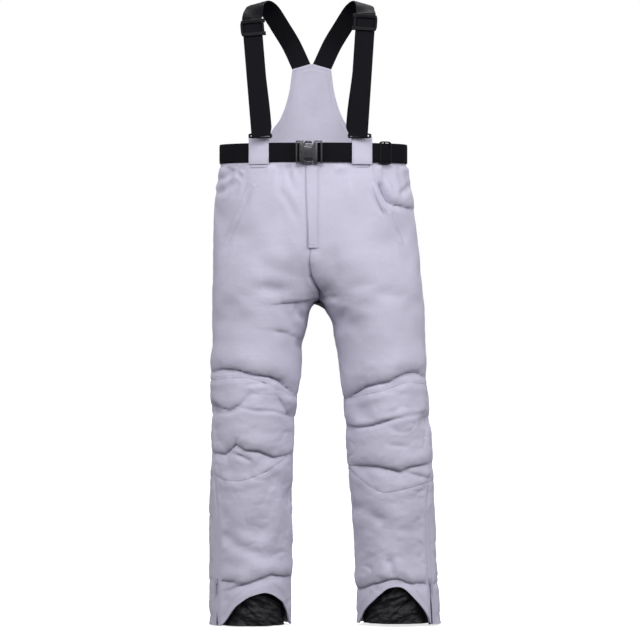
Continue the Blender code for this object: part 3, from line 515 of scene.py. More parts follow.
def seam_distance(grid):
    """Distance to the nearest sewn seam."""
    d = np.minimum(from_line(grid, SIDE_COLUMN, 1), from_line(grid, 0, 1))
    d = np.minimum(d, from_line(grid, LAST_COLUMN, 1))
    for row in (0, TOP_ROW, BOTTOM_ROW):
        d = np.minimum(d, from_line(grid, row, 0))
    return d


def dressed(side, grid):
    """Adds gathers, seam puckers and the soft unevenness of wadding."""
    n = normals(side, grid)
    x, z = grid[..., 0], grid[..., 2]
    seams = seam_distance(grid)
    below_waist = from_line(grid, 0, 0)
    plain = 1 - bell(np.abs(x) / 0.024, 4)
    for which in SIDES:
        plain = plain * (1 - bell((x - SIGN[which] * TAB_MIDDLE[which]) / 0.023, 6))
    round_ring = np.arctan2(grid[..., 1], x)
    coordinate = np.stack((round_ring * 0.16, z * 0.22, np.full_like(x, 3.0 + SIGN[side])), -1)
    gathers = noise(coordinate, 0.01) * 0.0052 + noise(coordinate, 0.022, 5.0) * 0.0046
    out = gathers * plain * np.exp(-below_waist / 0.034) * smoothstep(below_waist / 0.008)
    pucker = np.stack((x, grid[..., 1], z), -1)
    out += noise(pucker, 0.011, 2.0) * 0.0011 * np.exp(-seams / 0.014)
    out += noise(pucker, 0.075, 7.0) * 0.0013 + noise(pucker, 0.03, 9.0) * 0.0006
    out += noise(pucker * (1, 1, 1.8), 0.02, 4.0) * 0.0007 * smoothstep(-(z + 0.42) / 0.06)
    out += 0.0008 * bell((seams - 0.01) / 0.008) - 0.0006 * bell(seams / 0.0026)
    patch = smoothstep(noise(pucker, 0.06, 12.0) * 1.6 + 0.15) * smoothstep(-(z + 0.44) / 0.05)
    for size, depth, start in ((0.038, 0.0017, 14.0), (0.021, 0.0009, 17.0)):
        line = noise(pucker * (1, 1, 1.5), size, start)
        out -= depth * bell(line / 0.16) * (0.12 + 0.88 * patch)
    hem = from_line(grid, LAST_ROW, 0)
    out -= 0.0009 * bell((hem - 0.02) / 0.0025) - 0.001 * bell(hem / 0.006)
    crotch = np.hypot(np.hypot(x, z - CROTCH_Z), (grid[..., 1] - 0.01) * 0.6)
    out *= smoothstep((crotch - 0.012) / 0.03)
    fly = (np.abs(x) < 0.018) & (z > FLY_BOTTOM_Z - 0.01) & (grid[..., 1] < 0)
    out = np.where(fly, np.minimum(out, 0.0002), out)
    return grid + n * out[..., None]


def along_zip(side, grid):
    """Brings the cloth beside the leg zip back to the measured surface, where the zip's slider runs."""
    z = grid[..., 2]
    beside_zip = bell(from_line(grid, SIDE_COLUMN, 1) / 0.016, 4)
    weight = beside_zip * smoothstep((LEG_ZIP_TOP_Z + 0.05 - z) / 0.03)
    even = skin(side, np.linspace(0, 1, LAST_COLUMN + 1)[None], z)
    return grid + (even - grid) * weight[..., None]


def drawn_aside(points):
    """Draws the centre seam below the fly over towards the wearer's left, where the crotch creases."""
    x, z = points[..., 0], points[..., 2]
    line = np.array(SEAM_DRIFT)[::-1]
    drift = np.interp(z, line[:, 1], line[:, 0]) * bell(x / 0.045) * facing(points, True)
    moved = points.copy()
    moved[..., 0] += drift
    return moved


def drawn_back(points):
    """Undoes drawn_aside, near enough, so that each half can be worked on its own side."""
    return 2 * points - drawn_aside(points)


def opened(points):
    """Rounds the top of the gap between the legs, where the gusset lies."""
    away = points[..., (0, 2)] - np.array(GAP)
    distance = np.linalg.norm(away, axis=-1, keepdims=True)
    moved = points.copy()
    moved[..., (0, 2)] += unit(away) * GAP_PUSH * bell(distance / GAP_REACH)
    return moved


def knee_middle(side, grid):
    """Presses in the seam across the front of the knee."""
    s, t, _ = line_field(grid, KNEE_MIDDLE_LINE[side])
    weight = facing(grid, True) * smoothstep(np.minimum(t, 1 - t) / 0.04 + 0.2)
    out = 0.0008 * bell((np.abs(s) - 0.008) / 0.006) - 0.0014 * bell(s / 0.0028)
    return grid + normals(side, grid) * (out * weight)[..., None]


def settle(side, grid):
    """Keeps each half on its own side, its centre edges in the centre plane and its inseam shut."""
    grid[..., 0] = SIGN[side] * np.maximum(grid[..., 0] * SIGN[side], SEAM_GAP)
    grid[:CROTCH_ROW, (0, -1), 0] = SIGN[side] * SEAM_SHUT
    middle = (grid[CROTCH_ROW:, 0] + grid[CROTCH_ROW:, -1]) / 2
    grid[CROTCH_ROW:, 0] = grid[CROTCH_ROW:, -1] = middle
    return grid


# ---------------------------------------------------------------- the cloth simulation

SIM_FRAMES = 20
SIM_CAP = 0.011  # the simulation moves no point further than this


def puffed(grids):
    """Pressure and a little spare cloth between the pinned seams puff both halves of the trousers."""
    points, faces, pinned, offsets = [], [], [], []
    for side, grid in grids.items():
        rows, columns = grid.shape[:2]
        index = np.arange(rows * columns).reshape(rows, columns) + sum(len(p) for p in points)
        index[RISE_ROWS:, -1] = index[RISE_ROWS:, 0]
        offsets.append(index)
        quads = quads_of(index)
        faces.append(quads if side == "right" else quads[:, ::-1])
        points.append(grid.reshape(-1, 3))
        pin = np.zeros((rows, columns))
        pin[:, (0, -1)] = 1
        pin[:, COARSE_COLUMNS // 2] = 0.9
        pin[(0, 1, -1), :] = 1
        for row in (RISE_ROWS + THIGH_ROWS, RISE_ROWS + THIGH_ROWS + KNEE_ROWS):
            pin[row] = 0.9
        pinned.append(pin.ravel())
    points, pinned = np.concatenate(points), np.concatenate(pinned)
    mesh = bpy.data.meshes.new("cloth_rest")
    mesh.from_pydata(points.tolist(), [], np.concatenate(faces).tolist())
    obj = bpy.data.objects.new("cloth_rest", mesh)
    bpy.context.scene.collection.objects.link(obj)
    group = obj.vertex_groups.new(name="pin")
    for level in np.unique(pinned):
        if level > 0:
            group.add(np.nonzero(pinned == level)[0].tolist(), float(level), "REPLACE")
    cloth = obj.modifiers.new("cloth", "CLOTH")
    setup = cloth.settings
    setup.vertex_group_mass = "pin"
    setup.effector_weights.gravity = 0
    setup.use_pressure = True
    setup.uniform_pressure_force = 3.0
    setup.mass = 0.25
    setup.tension_stiffness = setup.compression_stiffness = 20
    setup.shear_stiffness = 8
    setup.bending_stiffness = 3.0
    setup.shrink_min = -0.012
    setup.air_damping = 2
    cloth.collision_settings.use_collision = False
    scene = bpy.context.scene
    for i in range(1, SIM_FRAMES + 1):
        scene.frame_set(i)
    result = obj.evaluated_get(bpy.context.evaluated_depsgraph_get()).data
    moved = np.zeros(len(points) * 3, np.float32)
    result.vertices.foreach_get("co", moved)
    moved = moved.reshape(-1, 3) - points
    distance = np.linalg.norm(moved, axis=1, keepdims=True)
    moved *= SIM_CAP * np.tanh(distance / SIM_CAP) / np.maximum(distance, 1e-9)
    bpy.data.objects.remove(obj)
    scene.frame_set(1)
    return {side: points[index] + evened(moved[index]) for side, index in zip(grids, offsets)}


def evened(moved):
    """Evens out what the cloth moved, so that each half keeps soft puffs and no kinks."""
    for _ in range(5):
        wide = np.concatenate([moved[:, -2:-1], moved, moved[:, 1:2]], 1)
        moved = (wide[:, :-2] + 2 * moved + wide[:, 2:]) / 4
        tall = np.concatenate([moved[:1], moved, moved[-1:]])
        moved = (tall[:-2] + 2 * moved + tall[2:]) / 4
    return moved


# ---------------------------------------------------------------- meshes


class Shape:
    """Collects points and faces, with a place on the cloth for each point and a material for each face."""

    def __init__(self):
        self.points, self.places, self.faces, self.kinds = [], [], [], []

    def add(self, points, places, faces, kind=0):
        first = sum(len(p) for p in self.points)
        self.points.append(np.asarray(points, float).reshape(-1, 3))
        self.places.append(np.asarray(places, float).reshape(-1, 2))
        self.faces += [tuple(int(i) + first for i in f) for f in faces]
        self.kinds += [kind] * len(faces)
        return self

    def make(self, name, materials, sharp=70):
        mesh = bpy.data.meshes.new(name)
        mesh.from_pydata(np.concatenate(self.points).tolist(), [], self.faces)
        mesh.polygons.foreach_set("material_index", self.kinds)
        mesh.polygons.foreach_set("use_smooth", [True] * len(self.faces))
        corner = np.zeros(len(mesh.loops), int)
        mesh.loops.foreach_get("vertex_index", corner)
        mesh.uv_layers.new(name="cloth").data.foreach_set("uv", np.concatenate(self.places)[corner].ravel())
        for material in materials:
            mesh.materials.append(material)
        mesh.update()
        mesh.set_sharp_from_angle(angle=math.radians(sharp))
        obj = bpy.data.objects.new(name, mesh)
        bpy.context.scene.collection.objects.link(obj)
        return obj


def grid_places(grid):
    """Where each point of a grid lies on the flat cloth, in metres."""
    down = np.concatenate([[0], np.cumsum(np.linalg.norm(np.diff(grid, axis=0), axis=-1).mean(1))])
    along = np.concatenate([[0], np.cumsum(np.linalg.norm(np.diff(grid, axis=1), axis=-1).mean(0))])
    return np.stack(np.meshgrid(along, down), -1)


def shell(shape, outer, inner, flip=False, places=None):
    """A closed sheet between two grids."""
    rows, columns = outer.shape[:2]
    index = np.arange(rows * columns).reshape(rows, columns)
    quads = quads_of(index)
    back = index + rows * columns
    border = np.concatenate([index[0], index[1:, -1], index[-1, -2::-1], index[-2:0:-1, 0]])
    border = np.append(border, border[0])
    rim = np.stack((border[1:], border[:-1], border[:-1] + rows * columns, border[1:] + rows * columns), -1)
    back = np.stack((back[:-1, :-1], back[1:, :-1], back[1:, 1:], back[:-1, 1:]), -1).reshape(-1, 4)
    faces = np.concatenate([quads, back, rim])
    if flip:
        faces = faces[:, ::-1]
    places = grid_places(outer) if places is None else places
    points = np.concatenate([outer.reshape(-1, 3), inner.reshape(-1, 3)])
    return shape.add(points, np.concatenate([places.reshape(-1, 2)] * 2), faces.tolist())


STITCH, STITCH_GAP, THREAD = 0.003, 0.0014, 0.00042


def resampled(path, *others, step):
    """A path and what goes with it, at even steps."""
    length = run_length(path)
    count = max(int(length[-1] / step), 2)
    at = np.linspace(0, length[-1], count + 1)
    return [np.stack([np.interp(at, length, values[:, a]) for a in range(values.shape[1])], -1)
            for values in (path, *others)]


def stitch(shape, path, out, kind=1):
    """A line of thread stitches lying on the cloth along path, whose outward normals are out."""
    path, out = resampled(np.asarray(path), np.asarray(out), step=STITCH + STITCH_GAP)
    out = unit(out)
    a, b = path[:-1], path[1:]
    along = unit(b - a)
    side = unit(np.cross(along, out[:-1]))
    lift = out[:-1]
    start, end = a + along * STITCH_GAP / 2, b - along * STITCH_GAP / 2
    middle = (start + end) / 2 + lift * (THREAD * 0.6 + 0.00005)
    near, far = middle - along * STITCH * 0.3, middle + along * STITCH * 0.3
    ring = [near + side * THREAD, near + lift * THREAD, near - side * THREAD, near - lift * THREAD,
            far + side * THREAD, far + lift * THREAD, far - side * THREAD, far - lift * THREAD]
    points = np.stack([start - lift * THREAD * 0.5, *ring, end - lift * THREAD * 0.5], 1)
    faces = []
    for i in range(4):
        j = (i + 1) % 4
        faces += [(0, 1 + j, 1 + i), (1 + i, 1 + j, 5 + j, 5 + i), (9, 5 + i, 5 + j)]
    all_faces = [tuple(10 * k + v for v in f) for k in range(len(points)) for f in faces]
    return shape.add(points.reshape(-1, 3), np.zeros((points.size // 3, 2)), all_faces, kind)


def beside(grid, n, line_index, axis, distance):
    """The path that keeps a distance from a row or column, with its normals."""
    if axis == 1:
        grid, n = np.swapaxes(grid, 0, 1), np.swapaxes(n, 0, 1)
    order = range(line_index, len(grid)) if distance > 0 else range(line_index, -1, -1)
    strip, lean = grid[list(order)[:12]], n[list(order)[:12]]
    length = np.concatenate([np.zeros((1, strip.shape[1])),
                             np.cumsum(np.linalg.norm(np.diff(strip, axis=0), axis=-1), 0)])
    path, out = [], []
    for k in range(strip.shape[1]):
        path.append([np.interp(abs(distance), length[:, k], strip[:, k, a]) for a in range(3)])
        out.append([np.interp(abs(distance), length[:, k], lean[:, k, a]) for a in range(3)])
    return np.array(path), np.array(out)


def flat_section(width, thickness, across=9):
    """Points round the section of flat webbing, as (across, out) offsets."""
    a = np.linspace(-1, 1, across)
    b = np.sqrt(np.clip(1 - np.abs(a) ** 8, 0, 1))
    top = np.stack((a * width / 2, b * thickness / 2), -1)
    bottom = np.stack((a[-2:0:-1] * width / 2, -b[-2:0:-1] * thickness / 2), -1)
    return np.concatenate([top, bottom])


def tube_faces(count, around):
    """Faces of a closed solid through count rings with around points each."""
    index = np.arange(count * around).reshape(count, around)
    turned = np.roll(index, -1, 1)
    faces = np.stack((index[:-1], turned[:-1], turned[1:], index[1:]), -1).reshape(-1, 4).tolist()
    return faces + [tuple(index[0][::-1]), tuple(index[-1])]


def sweep(shape, path, across, out, section):
    """A section carried along a path. across and out are unit vectors at each point of the path."""
    rings = path[:, None] + across[:, None] * section[None, :, :1] + out[:, None] * section[None, :, 1:]
    count, around = rings.shape[:2]
    length = run_length(path)
    places = np.stack((np.broadcast_to(section[None, :, 0], (count, around)),
                       np.broadcast_to(length[:, None], (count, around))), -1)
    return shape.add(rings.reshape(-1, 3), places.reshape(-1, 2), tube_faces(count, around))


def smooth_path(points, step=0.004):
    """Even points on a smooth curve through the given ones."""
    points = np.array(points, float)
    length = run_length(points)
    at = np.linspace(0, length[-1], max(int(length[-1] / step), 8) + 1)
    return np.stack([read_curve(at, length, points[:, a]) for a in range(points.shape[1])], -1)


def fix_normals(obj):
    """Turns every face outwards."""
    bm = bmesh.new()
    bm.from_mesh(obj.data)
    bmesh.ops.recalc_face_normals(bm, faces=bm.faces)
    bm.to_mesh(obj.data)
    bm.free()
    return obj


# ---------------------------------------------------------------- materials


class Surface:
    """Builds one procedural material."""

    def __init__(self, name, **sockets):
        self.material = bpy.data.materials.new(name)
        self.material.use_nodes = True
        self.tree = self.material.node_tree
        self.shader = self.tree.nodes["Principled BSDF"]
        for key, value in sockets.items():
            socket = key.replace("_", " ").title().replace("Ior", "IOR")
            self.shader.inputs[socket].default_value = value

    def node(self, kind, inputs=(), **settings):
        node = self.tree.nodes.new(kind)
        for key, value in settings.items():
            setattr(node, key, value)
        for key, value in dict(inputs).items():
            if isinstance(value, bpy.types.NodeSocket):
                self.tree.links.new(value, node.inputs[key])
            else:
                node.inputs[key].default_value = value
        return node

    def place(self, scale=(1, 1, 1), cloth=True):
        """Coordinates in metres on the cloth, or in the object."""
        source = self.node("ShaderNodeTexCoord").outputs["UV" if cloth else "Object"]
        return self.node("ShaderNodeMapping", {"Vector": source, "Scale": scale}).outputs[0]

    def noise(self, vector, scale, detail=3.0, rough=0.55):
        return self.node("ShaderNodeTexNoise", {"Vector": vector, "Scale": scale, "Detail": detail,
                                                "Roughness": rough}).outputs["Fac"]

    def bands(self, vector, period, direction="X"):
        inputs = {"Vector": vector, "Scale": 0.314159 / period, "Distortion": 0.0}
        wave = self.node("ShaderNodeTexWave", inputs, wave_type="BANDS", bands_direction=direction)
        return wave.outputs["Fac"]

    def weave(self, vector, period):
        """Crossed threads."""
        return self.math("MULTIPLY", self.bands(vector, period, "X"), self.bands(vector, period, "Y"))

    def turned(self, vector, angles):
        return self.node("ShaderNodeMapping", {"Vector": vector, "Rotation": angles}).outputs[0]

    def math(self, operation, a, b=0.5, c=0.5):
        return self.node("ShaderNodeMath", {0: a, 1: b, 2: c}, operation=operation).outputs[0]

    def ramp(self, value, low, high):
        """Turns 0 to 1 into low to high."""
        return self.node("ShaderNodeMapRange", {"Value": value, "To Min": low, "To Max": high}).outputs[0]

    def colours(self, value, *stops):
        node = self.node("ShaderNodeValToRGB", {"Fac": value})
        ramp = node.color_ramp
        while len(ramp.elements) < len(stops):
            ramp.elements.new(0.5)
        for element, (at, colour) in zip(ramp.elements, stops):
            element.position, element.color = at, (*colour, 1)
        return node.outputs[0]

    def bump(self, height, distance, strength=1.0, normal=None):
        inputs = {"Height": height, "Distance": distance, "Strength": strength}
        if normal is not None:
            inputs["Normal"] = normal
        return self.node("ShaderNodeBump", inputs).outputs[0]

    def link(self, **sockets):
        for key, value in sockets.items():
            self.tree.links.new(value, self.shader.inputs[key.replace("_", " ").title()])
        return self.material


def shades(colour, low, high):
    """A darker and a lighter shade of a colour."""
    return [tuple(c * k for c in colour) for k in (low, high)]


def woven_cloth(name, colour, crinkle=0.0018):
    """Matt microfibre shell cloth: a fine plain weave, soft crinkles and slightly uneven dye."""
    s = Surface(name, sheen_weight=0.12, sheen_roughness=0.45, specular_ior_level=0.22)
    s.shader.inputs["Sheen Tint"].default_value = (0.86, 0.85, 0.95, 1)
    place = s.place()
    weave = s.weave(place, 0.00085)
    slub = s.noise(s.place((1, 7, 1)), 420, 2)
    dye = s.noise(place, 17, 4, 0.6)
    grain = s.math("MULTIPLY_ADD", weave, 0.22, s.math("MULTIPLY", slub, 0.3))
    tone = s.math("MULTIPLY_ADD", dye, 0.7, grain)
    dark, light = shades(colour, 0.86, 1.09)
    base = s.colours(tone, (0.22, dark), (0.52, colour), (0.86, light))
    crumple = s.math("ABSOLUTE", s.math("SUBTRACT", s.noise(place, 46, 5, 0.66), 0.5))
    fine = s.bump(weave, 0.0001, 0.7, s.bump(slub, 0.0001, 0.5))
    normal = s.bump(crumple, crinkle, 0.75, fine)
    return s.link(base_color=base, roughness=s.ramp(s.noise(place, 34, 3), 0.6, 0.82), normal=normal)


def nylon(name, colour, crinkle, shine=0.42, scale=55):
    """Thin black nylon with a ripstop grid and sharp crinkles, painted darker in their hollows and lighter on
    their crests as shade and highlight.
    """
    s = Surface(name, sheen_weight=0.02, specular_ior_level=0.35)
    place = s.place()
    crumple = s.noise(s.place((1, 2.2, 1)), scale, 6, 0.65)
    grid = s.math("MAXIMUM", s.bands(place, 0.0052, "X"), s.bands(place, 0.0052, "Y"))
    grid = s.math("POWER", grid, 18)
    # painted shade and highlight: the colour follows the crinkles' height, darker in the hollows and lighter
    # on the crests
    dark, light = shades(colour, 0.6, 1.9)
    base = s.colours(crumple, (0.3, dark), (0.75, light))
    fine = s.bump(grid, 0.00018, 0.8)
    return s.link(base_color=base, normal=s.bump(crumple, crinkle, 0.9, fine),
                  roughness=s.ramp(s.noise(place, 120, 3), shine - 0.1, shine + 0.14))


def webbing(name, colour, cloth=True):
    """Heavy woven webbing: ribs along its length, crossed by the weft."""
    s = Surface(name, specular_ior_level=0.03)
    place = s.place(cloth=cloth)
    rib = s.bands(place, 0.0017, "X")
    weft = s.bands(s.turned(place, (0, 0, 0.5)), 0.0013, "Y")
    body = s.math("MULTIPLY_ADD", rib, 0.6, s.math("MULTIPLY", weft, 0.4))
    fuzz = s.noise(place, 900, 2)
    tone = s.math("MULTIPLY_ADD", fuzz, 0.35, s.math("MULTIPLY", body, 0.65))
    dark, light = shades(colour, 0.55, 1.75)
    base = s.colours(tone, (0.2, dark), (0.8, light))
    return s.link(base_color=base, roughness=s.ramp(fuzz, 0.5, 0.78), normal=s.bump(body, 0.00035, 0.9))


def moulded(name, colour, gloss, coat=0.0, metal=0.0):
    """Injection-moulded plastic or coated metal: a fine spark-eroded grain, faint flow and handling marks."""
    specular = 0.5 if coat or metal else 0.14
    s = Surface(name, coat_weight=coat, coat_roughness=0.16, metallic=metal, specular_ior_level=specular)
    place = s.place(cloth=False)
    cloud, speck = s.noise(place, 90, 4), s.noise(place, 2600, 2)
    scuff = s.math("POWER", s.noise(s.place((1, 1, 6), False), 260, 4), 3)
    dark, light = shades(colour, 0.8, 1.22)
    tone = s.math("MULTIPLY_ADD", scuff, 0.5, s.math("MULTIPLY", cloud, 0.7))
    wear = s.math("MULTIPLY_ADD", scuff, 0.9, s.math("MULTIPLY", cloud, 0.5))
    return s.link(base_color=s.colours(tone, (0.15, dark), (0.75, light)),
                  roughness=s.ramp(wear, gloss, gloss + 0.22),
                  normal=s.bump(speck, 0.00006, 0.8, s.bump(cloud, 0.0004, 0.4)))


def melange(name):
    """Dark grey melange knit of the gusset."""
    s = Surface(name, sheen_weight=0.2, specular_ior_level=0.2)
    place = s.place()
    fleck, loop = s.noise(s.place((1, 0.4, 1)), 900, 2), s.bands(place, 0.0012, "X")
    base = s.colours(fleck, (0.35, (0.035, 0.035, 0.04)), (0.55, (0.1, 0.1, 0.11)),
                     (0.7, (0.28, 0.28, 0.3)))
    return s.link(base_color=base, roughness=s.ramp(fleck, 0.75, 0.95), normal=s.bump(loop, 0.0003, 0.8))


def quilted(name):
    """Black taffeta lining, painted darker in its crinkles' hollows and lighter on their crests as shade and
    highlight.
    """
    s = Surface(name, sheen_weight=0.02, specular_ior_level=0.3)
    place = s.place()
    weave = s.weave(place, 0.0009)
    crumple = s.noise(place, 90, 5, 0.6)
    # painted shade and highlight: the colour mostly follows the crinkles' height, with the weave's own
    # pattern mixed in
    base = s.colours(s.math("MULTIPLY_ADD", weave, 0.25, s.math("MULTIPLY", crumple, 0.75)),
                     (0.2, (0.008, 0.008, 0.01)), (0.8, (0.028, 0.028, 0.033)))
    return s.link(base_color=base, roughness=s.ramp(crumple, 0.36, 0.62),
                  normal=s.bump(crumple, 0.0012, 0.7, s.bump(weave, 0.0001, 0.6)))


def thread(name, colour):
    """Twisted sewing thread."""
    s = Surface(name, sheen_weight=0.1)
    place = s.node("ShaderNodeTexCoord").outputs["Object"]
    twist = s.bands(s.turned(place, (0.6, 0.5, 0.7)), 0.0007, "X")
    dark, light = shades(colour, 0.75, 1.1)
    return s.link(base_color=s.colours(twist, (0.2, dark), (0.8, light)), roughness=s.ramp(twist, 0.45, 0.65),
                  normal=s.bump(twist, 0.0001, 0.8))


LAVENDER = (0.505, 0.484, 0.598)
OUTER = woven_cloth("outer_cloth", LAVENDER)
# painted light: a lighter copy of the shell cloth for the tabs and back loops, standing in for the light on
# the tabs
LIT_CLOTH = woven_cloth("light_cloth", (0.535, 0.518, 0.632), 0.0014)
# painted shade: a darker copy of the shell cloth for the bib, standing in for the shade on its inside
SHADED_BIB_CLOTH = woven_cloth("shaded_bib_cloth", (0.478, 0.46, 0.565), 0.0014)
THREAD_LAVENDER = thread("thread", (0.44, 0.42, 0.53))
# painted shadow: dark thread on the fly flap's lower free edge and foot and on the tab's stitch rows at its
# foot and the belt's lower edge, standing in for the shadow lines there
THREAD_PAINTED_SHADOW = thread("thread_painted_shadow", (0.2, 0.19, 0.25))
THREAD_BLACK = thread("thread_black", (0.02, 0.02, 0.024))
# painted shade and highlight: the lining is coloured darker in its crinkles' hollows and lighter on their
# crests
LINING = quilted("lining")
# painted shade and highlight: the gaiter and the pocket bag are coloured darker in their crinkles' hollows
# and lighter on their crests
GAITER = nylon("gaiter_nylon", (0.0065, 0.0062, 0.009), 0.004)
BAG = nylon("pocket_nylon", (0.015, 0.015, 0.018), 0.001, 0.5, 80)
WEB = webbing("webbing", (0.007, 0.0068, 0.0088))
TAPE = webbing("zip_tape", (0.012, 0.012, 0.014))
FLY_TAPE = webbing("fly_zip_tape", (0.012, 0.012, 0.014), cloth=False)
SATIN = moulded("black_plastic", (0.006, 0.006, 0.0075), 0.5)
GLOSS = moulded("buckle_plastic", (0.027, 0.026, 0.031), 0.22, coat=0.45)
NICKEL = moulded("zip_metal", (0.34, 0.34, 0.36), 0.22, metal=1.0)
ENAMEL = moulded("zip_enamel", (0.4, 0.385, 0.475), 0.38)
GUSSET = melange("gusset")


def repaint(node, material):
    """A carried-over CAD node with a better finish, its edges rounded as a mould rounds them."""
    obj = frame["nodes"][node]
    obj.data.materials.clear()
    obj.data.materials.append(material)
    weld = obj.modifiers.new("weld", "WELD")
    weld.merge_threshold = 0.00002
    bevel = obj.modifiers.new("round", "BEVEL")
    bevel.width, bevel.segments, bevel.angle_limit = 0.0007, 3, math.radians(40)
    bevel.harden_normals = False
    obj.data.polygons.foreach_set("use_smooth", [True] * len(obj.data.polygons))
    smooth = obj.modifiers.new("normals", "WEIGHTED_NORMAL")
    smooth.keep_sharp = False
    return obj


def take_place(obj, node, body="root"):
    """Puts a made piece in the place of a CAD node and lets it ride on a body."""
    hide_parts(node)
    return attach(obj, body)


# ---------------------------------------------------------------- legs

LEG_BODY = {"right": "right_lower_leg", "left": "left_lower_leg"}


def bend(obj):
    """Cloth that crosses the knee, or joins cloth that does: only its transform is baked into its points;
    nothing bends it.
    """
    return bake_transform(obj)


TURNED_HEM, HEM_FOLD = 0.02, 0.0012  # how far up the hem is turned, and how much thicker it is there


def cut(side, grid, n, rows, columns, name, node, lines):
    """Cuts one panel out of the grid and topstitches it. lines are (row or column, axis, distance)."""
    area = slice(rows[0], rows[1] + 1), slice(columns[0], columns[1] + 1)
    part, lean = grid[area], n[area]
    thickness = SHELL + HEM_FOLD * bell(from_line(grid, LAST_ROW, 0) / TURNED_HEM, 4)
    inner = part - lean * thickness[area][..., None]
    shape = shell(Shape(), part, inner, side == "left", places=grid_places(grid)[area])
    for line, axis, distance in lines:
        first = columns[0] if axis else rows[0]
        path, out = beside(part, lean, line - first, axis, distance)
        stitch(shape, path[1:-1], out[1:-1])
    obj = shape.make(name, (OUTER, THREAD_LAVENDER))
    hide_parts(node)
    return bend(obj)


SLIT_TOP_Z, SLIT_EASE, SLIT_GAPE = {"right": -0.962, "left": -0.916}, {"right": 0.03, "left": 0.045}, 0.0034
EDGE, SECOND_LINE = 0.003, 0.005  # from a seam to its topstitching, and on to the second line of it


def leg_zip_opening(side, grid):
    """How far each panel's edge is drawn aside at the foot of the leg zip, so that it gapes there."""
    return SLIT_GAPE * smoothstep((SLIT_TOP_Z[side] - grid[:, SIDE_COLUMN, 2]) / SLIT_EASE[side])


def spread_edge(grid, column, towards, gape):
    """Moves one column and the ones beside it away from the seam by gape."""
    for step, share in ((0, 1.0), (1, 0.6), (2, 0.3)):
        c = column + towards * step
        along = unit(grid[:, c + towards] - grid[:, c])
        grid[:, c] += along * (gape * share)[:, None]
    return grid


def make_legs(grids):
    """The six padded panels of each leg."""
    for side in SIDES:
        grid = grids[side]
        n = normals(side, grid)
        gape = leg_zip_opening(side, grid)
        front, back = grid.copy(), grid.copy()
        spread_edge(front, SIDE_COLUMN, -1, gape)
        spread_edge(back, SIDE_COLUMN, 1, gape)
        fly = (grid[:, 0, 2] < FLY_TOP_Z) & (grid[:, 0, 2] > FLY_BOTTOM_Z)
        for c in range(4):
            front[fly, c, 0] = SIGN[side] * np.maximum(np.abs(front[fly, c, 0]), FLY_SLOT + c * 0.0012)
        rise, knee, shin = (0, TOP_ROW), (TOP_ROW, BOTTOM_ROW), (BOTTOM_ROW, LAST_ROW)
        before, behind = (0, SIDE_COLUMN), (SIDE_COLUMN, LAST_COLUMN)
        pieces = (
            ("front_panel", front, rise, before,
             ((SIDE_COLUMN, 1, -EDGE), (TOP_ROW, 0, -EDGE), (TOP_ROW, 0, -EDGE - SECOND_LINE))),
            ("back_panel", back, rise, behind,
             ((LAST_COLUMN, 1, -EDGE), (LAST_COLUMN, 1, -EDGE - SECOND_LINE), (TOP_ROW, 0, -EDGE))),
            ("knee_panel", front, knee, before,
             ((TOP_ROW, 0, EDGE), (BOTTOM_ROW, 0, -EDGE), (SIDE_COLUMN, 1, -EDGE))),
            ("back_knee_panel", back, knee, behind, ((BOTTOM_ROW, 0, -EDGE),)),
            ("lower_front_panel", front, shin, before,
             ((BOTTOM_ROW, 0, EDGE), (SIDE_COLUMN, 1, -EDGE - 0.003), (LAST_ROW, 0, -0.019))),
            ("lower_back_panel", back, shin, behind,
             ((BOTTOM_ROW, 0, EDGE), (SIDE_COLUMN, 1, EDGE + 0.003), (LAST_ROW, 0, -0.019))),
        )
        for key, source, rows, columns, lines in pieces:
            obj = cut(side, source, n, rows, columns, f"{side}_{key}_cloth", f"{side}_{key}", lines)


BAG_TOP_Z, BAG_BOTTOM_Z = -0.125, -0.3
WADDING, LINING_CLOTH, QUILT_SIZE, QUILT_PUFF = 0.0048, 0.0012, 0.085, 0.0022


def make_lining(side, grid):
    """The quilted lining, inside the shell by the wadding's depth, and the pocket bag hung before it."""
    coarse = grid[::2, ::2]
    n = normals(side, grid)[::2, ::2]
    rows = np.nonzero(coarse[:, :, 2].mean(1) > LINING_BOTTOM_Z)[0]
    last = rows[-1] + 1
    coarse, n = coarse[:last], n[:last]
    place = grid_places(coarse)
    a, b = place[..., 0] + place[..., 1], place[..., 0] - place[..., 1]
    channel = np.minimum(np.abs((a / QUILT_SIZE) % 1 - 0.5), np.abs((b / QUILT_SIZE) % 1 - 0.5))
    puff = QUILT_PUFF * np.sqrt(np.clip(channel * 2, 0, 1))
    outer = coarse - n * WADDING
    inner = outer - n * (LINING_CLOTH + puff)[..., None]
    for g in (outer, inner):
        g[:, (0, -1), 0] = SIGN[side] * np.maximum(SIGN[side] * g[:, (0, -1), 0], 0.0005)
    obj = shell(Shape(), outer, inner, side == "left").make(f"{side}_lining_cloth", (LINING,))
    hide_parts(f"{side}_quilted_lining")
    bend(obj)
    bag_rows = np.nonzero((coarse[:, 12, 2] < BAG_TOP_Z) & (coarse[:, 12, 2] > BAG_BOTTOM_Z))[0]
    area = slice(bag_rows[0], bag_rows[-1] + 1), slice(11, 25)
    part, lean = coarse[area], n[area]
    bag = shell(Shape(), part - lean * 0.0026, part - lean * 0.0036, side == "left")
    obj = bag.make(f"{side}_pocket_bag_cloth", (BAG,))
    take_place(obj, f"{side}_pocket_bag")


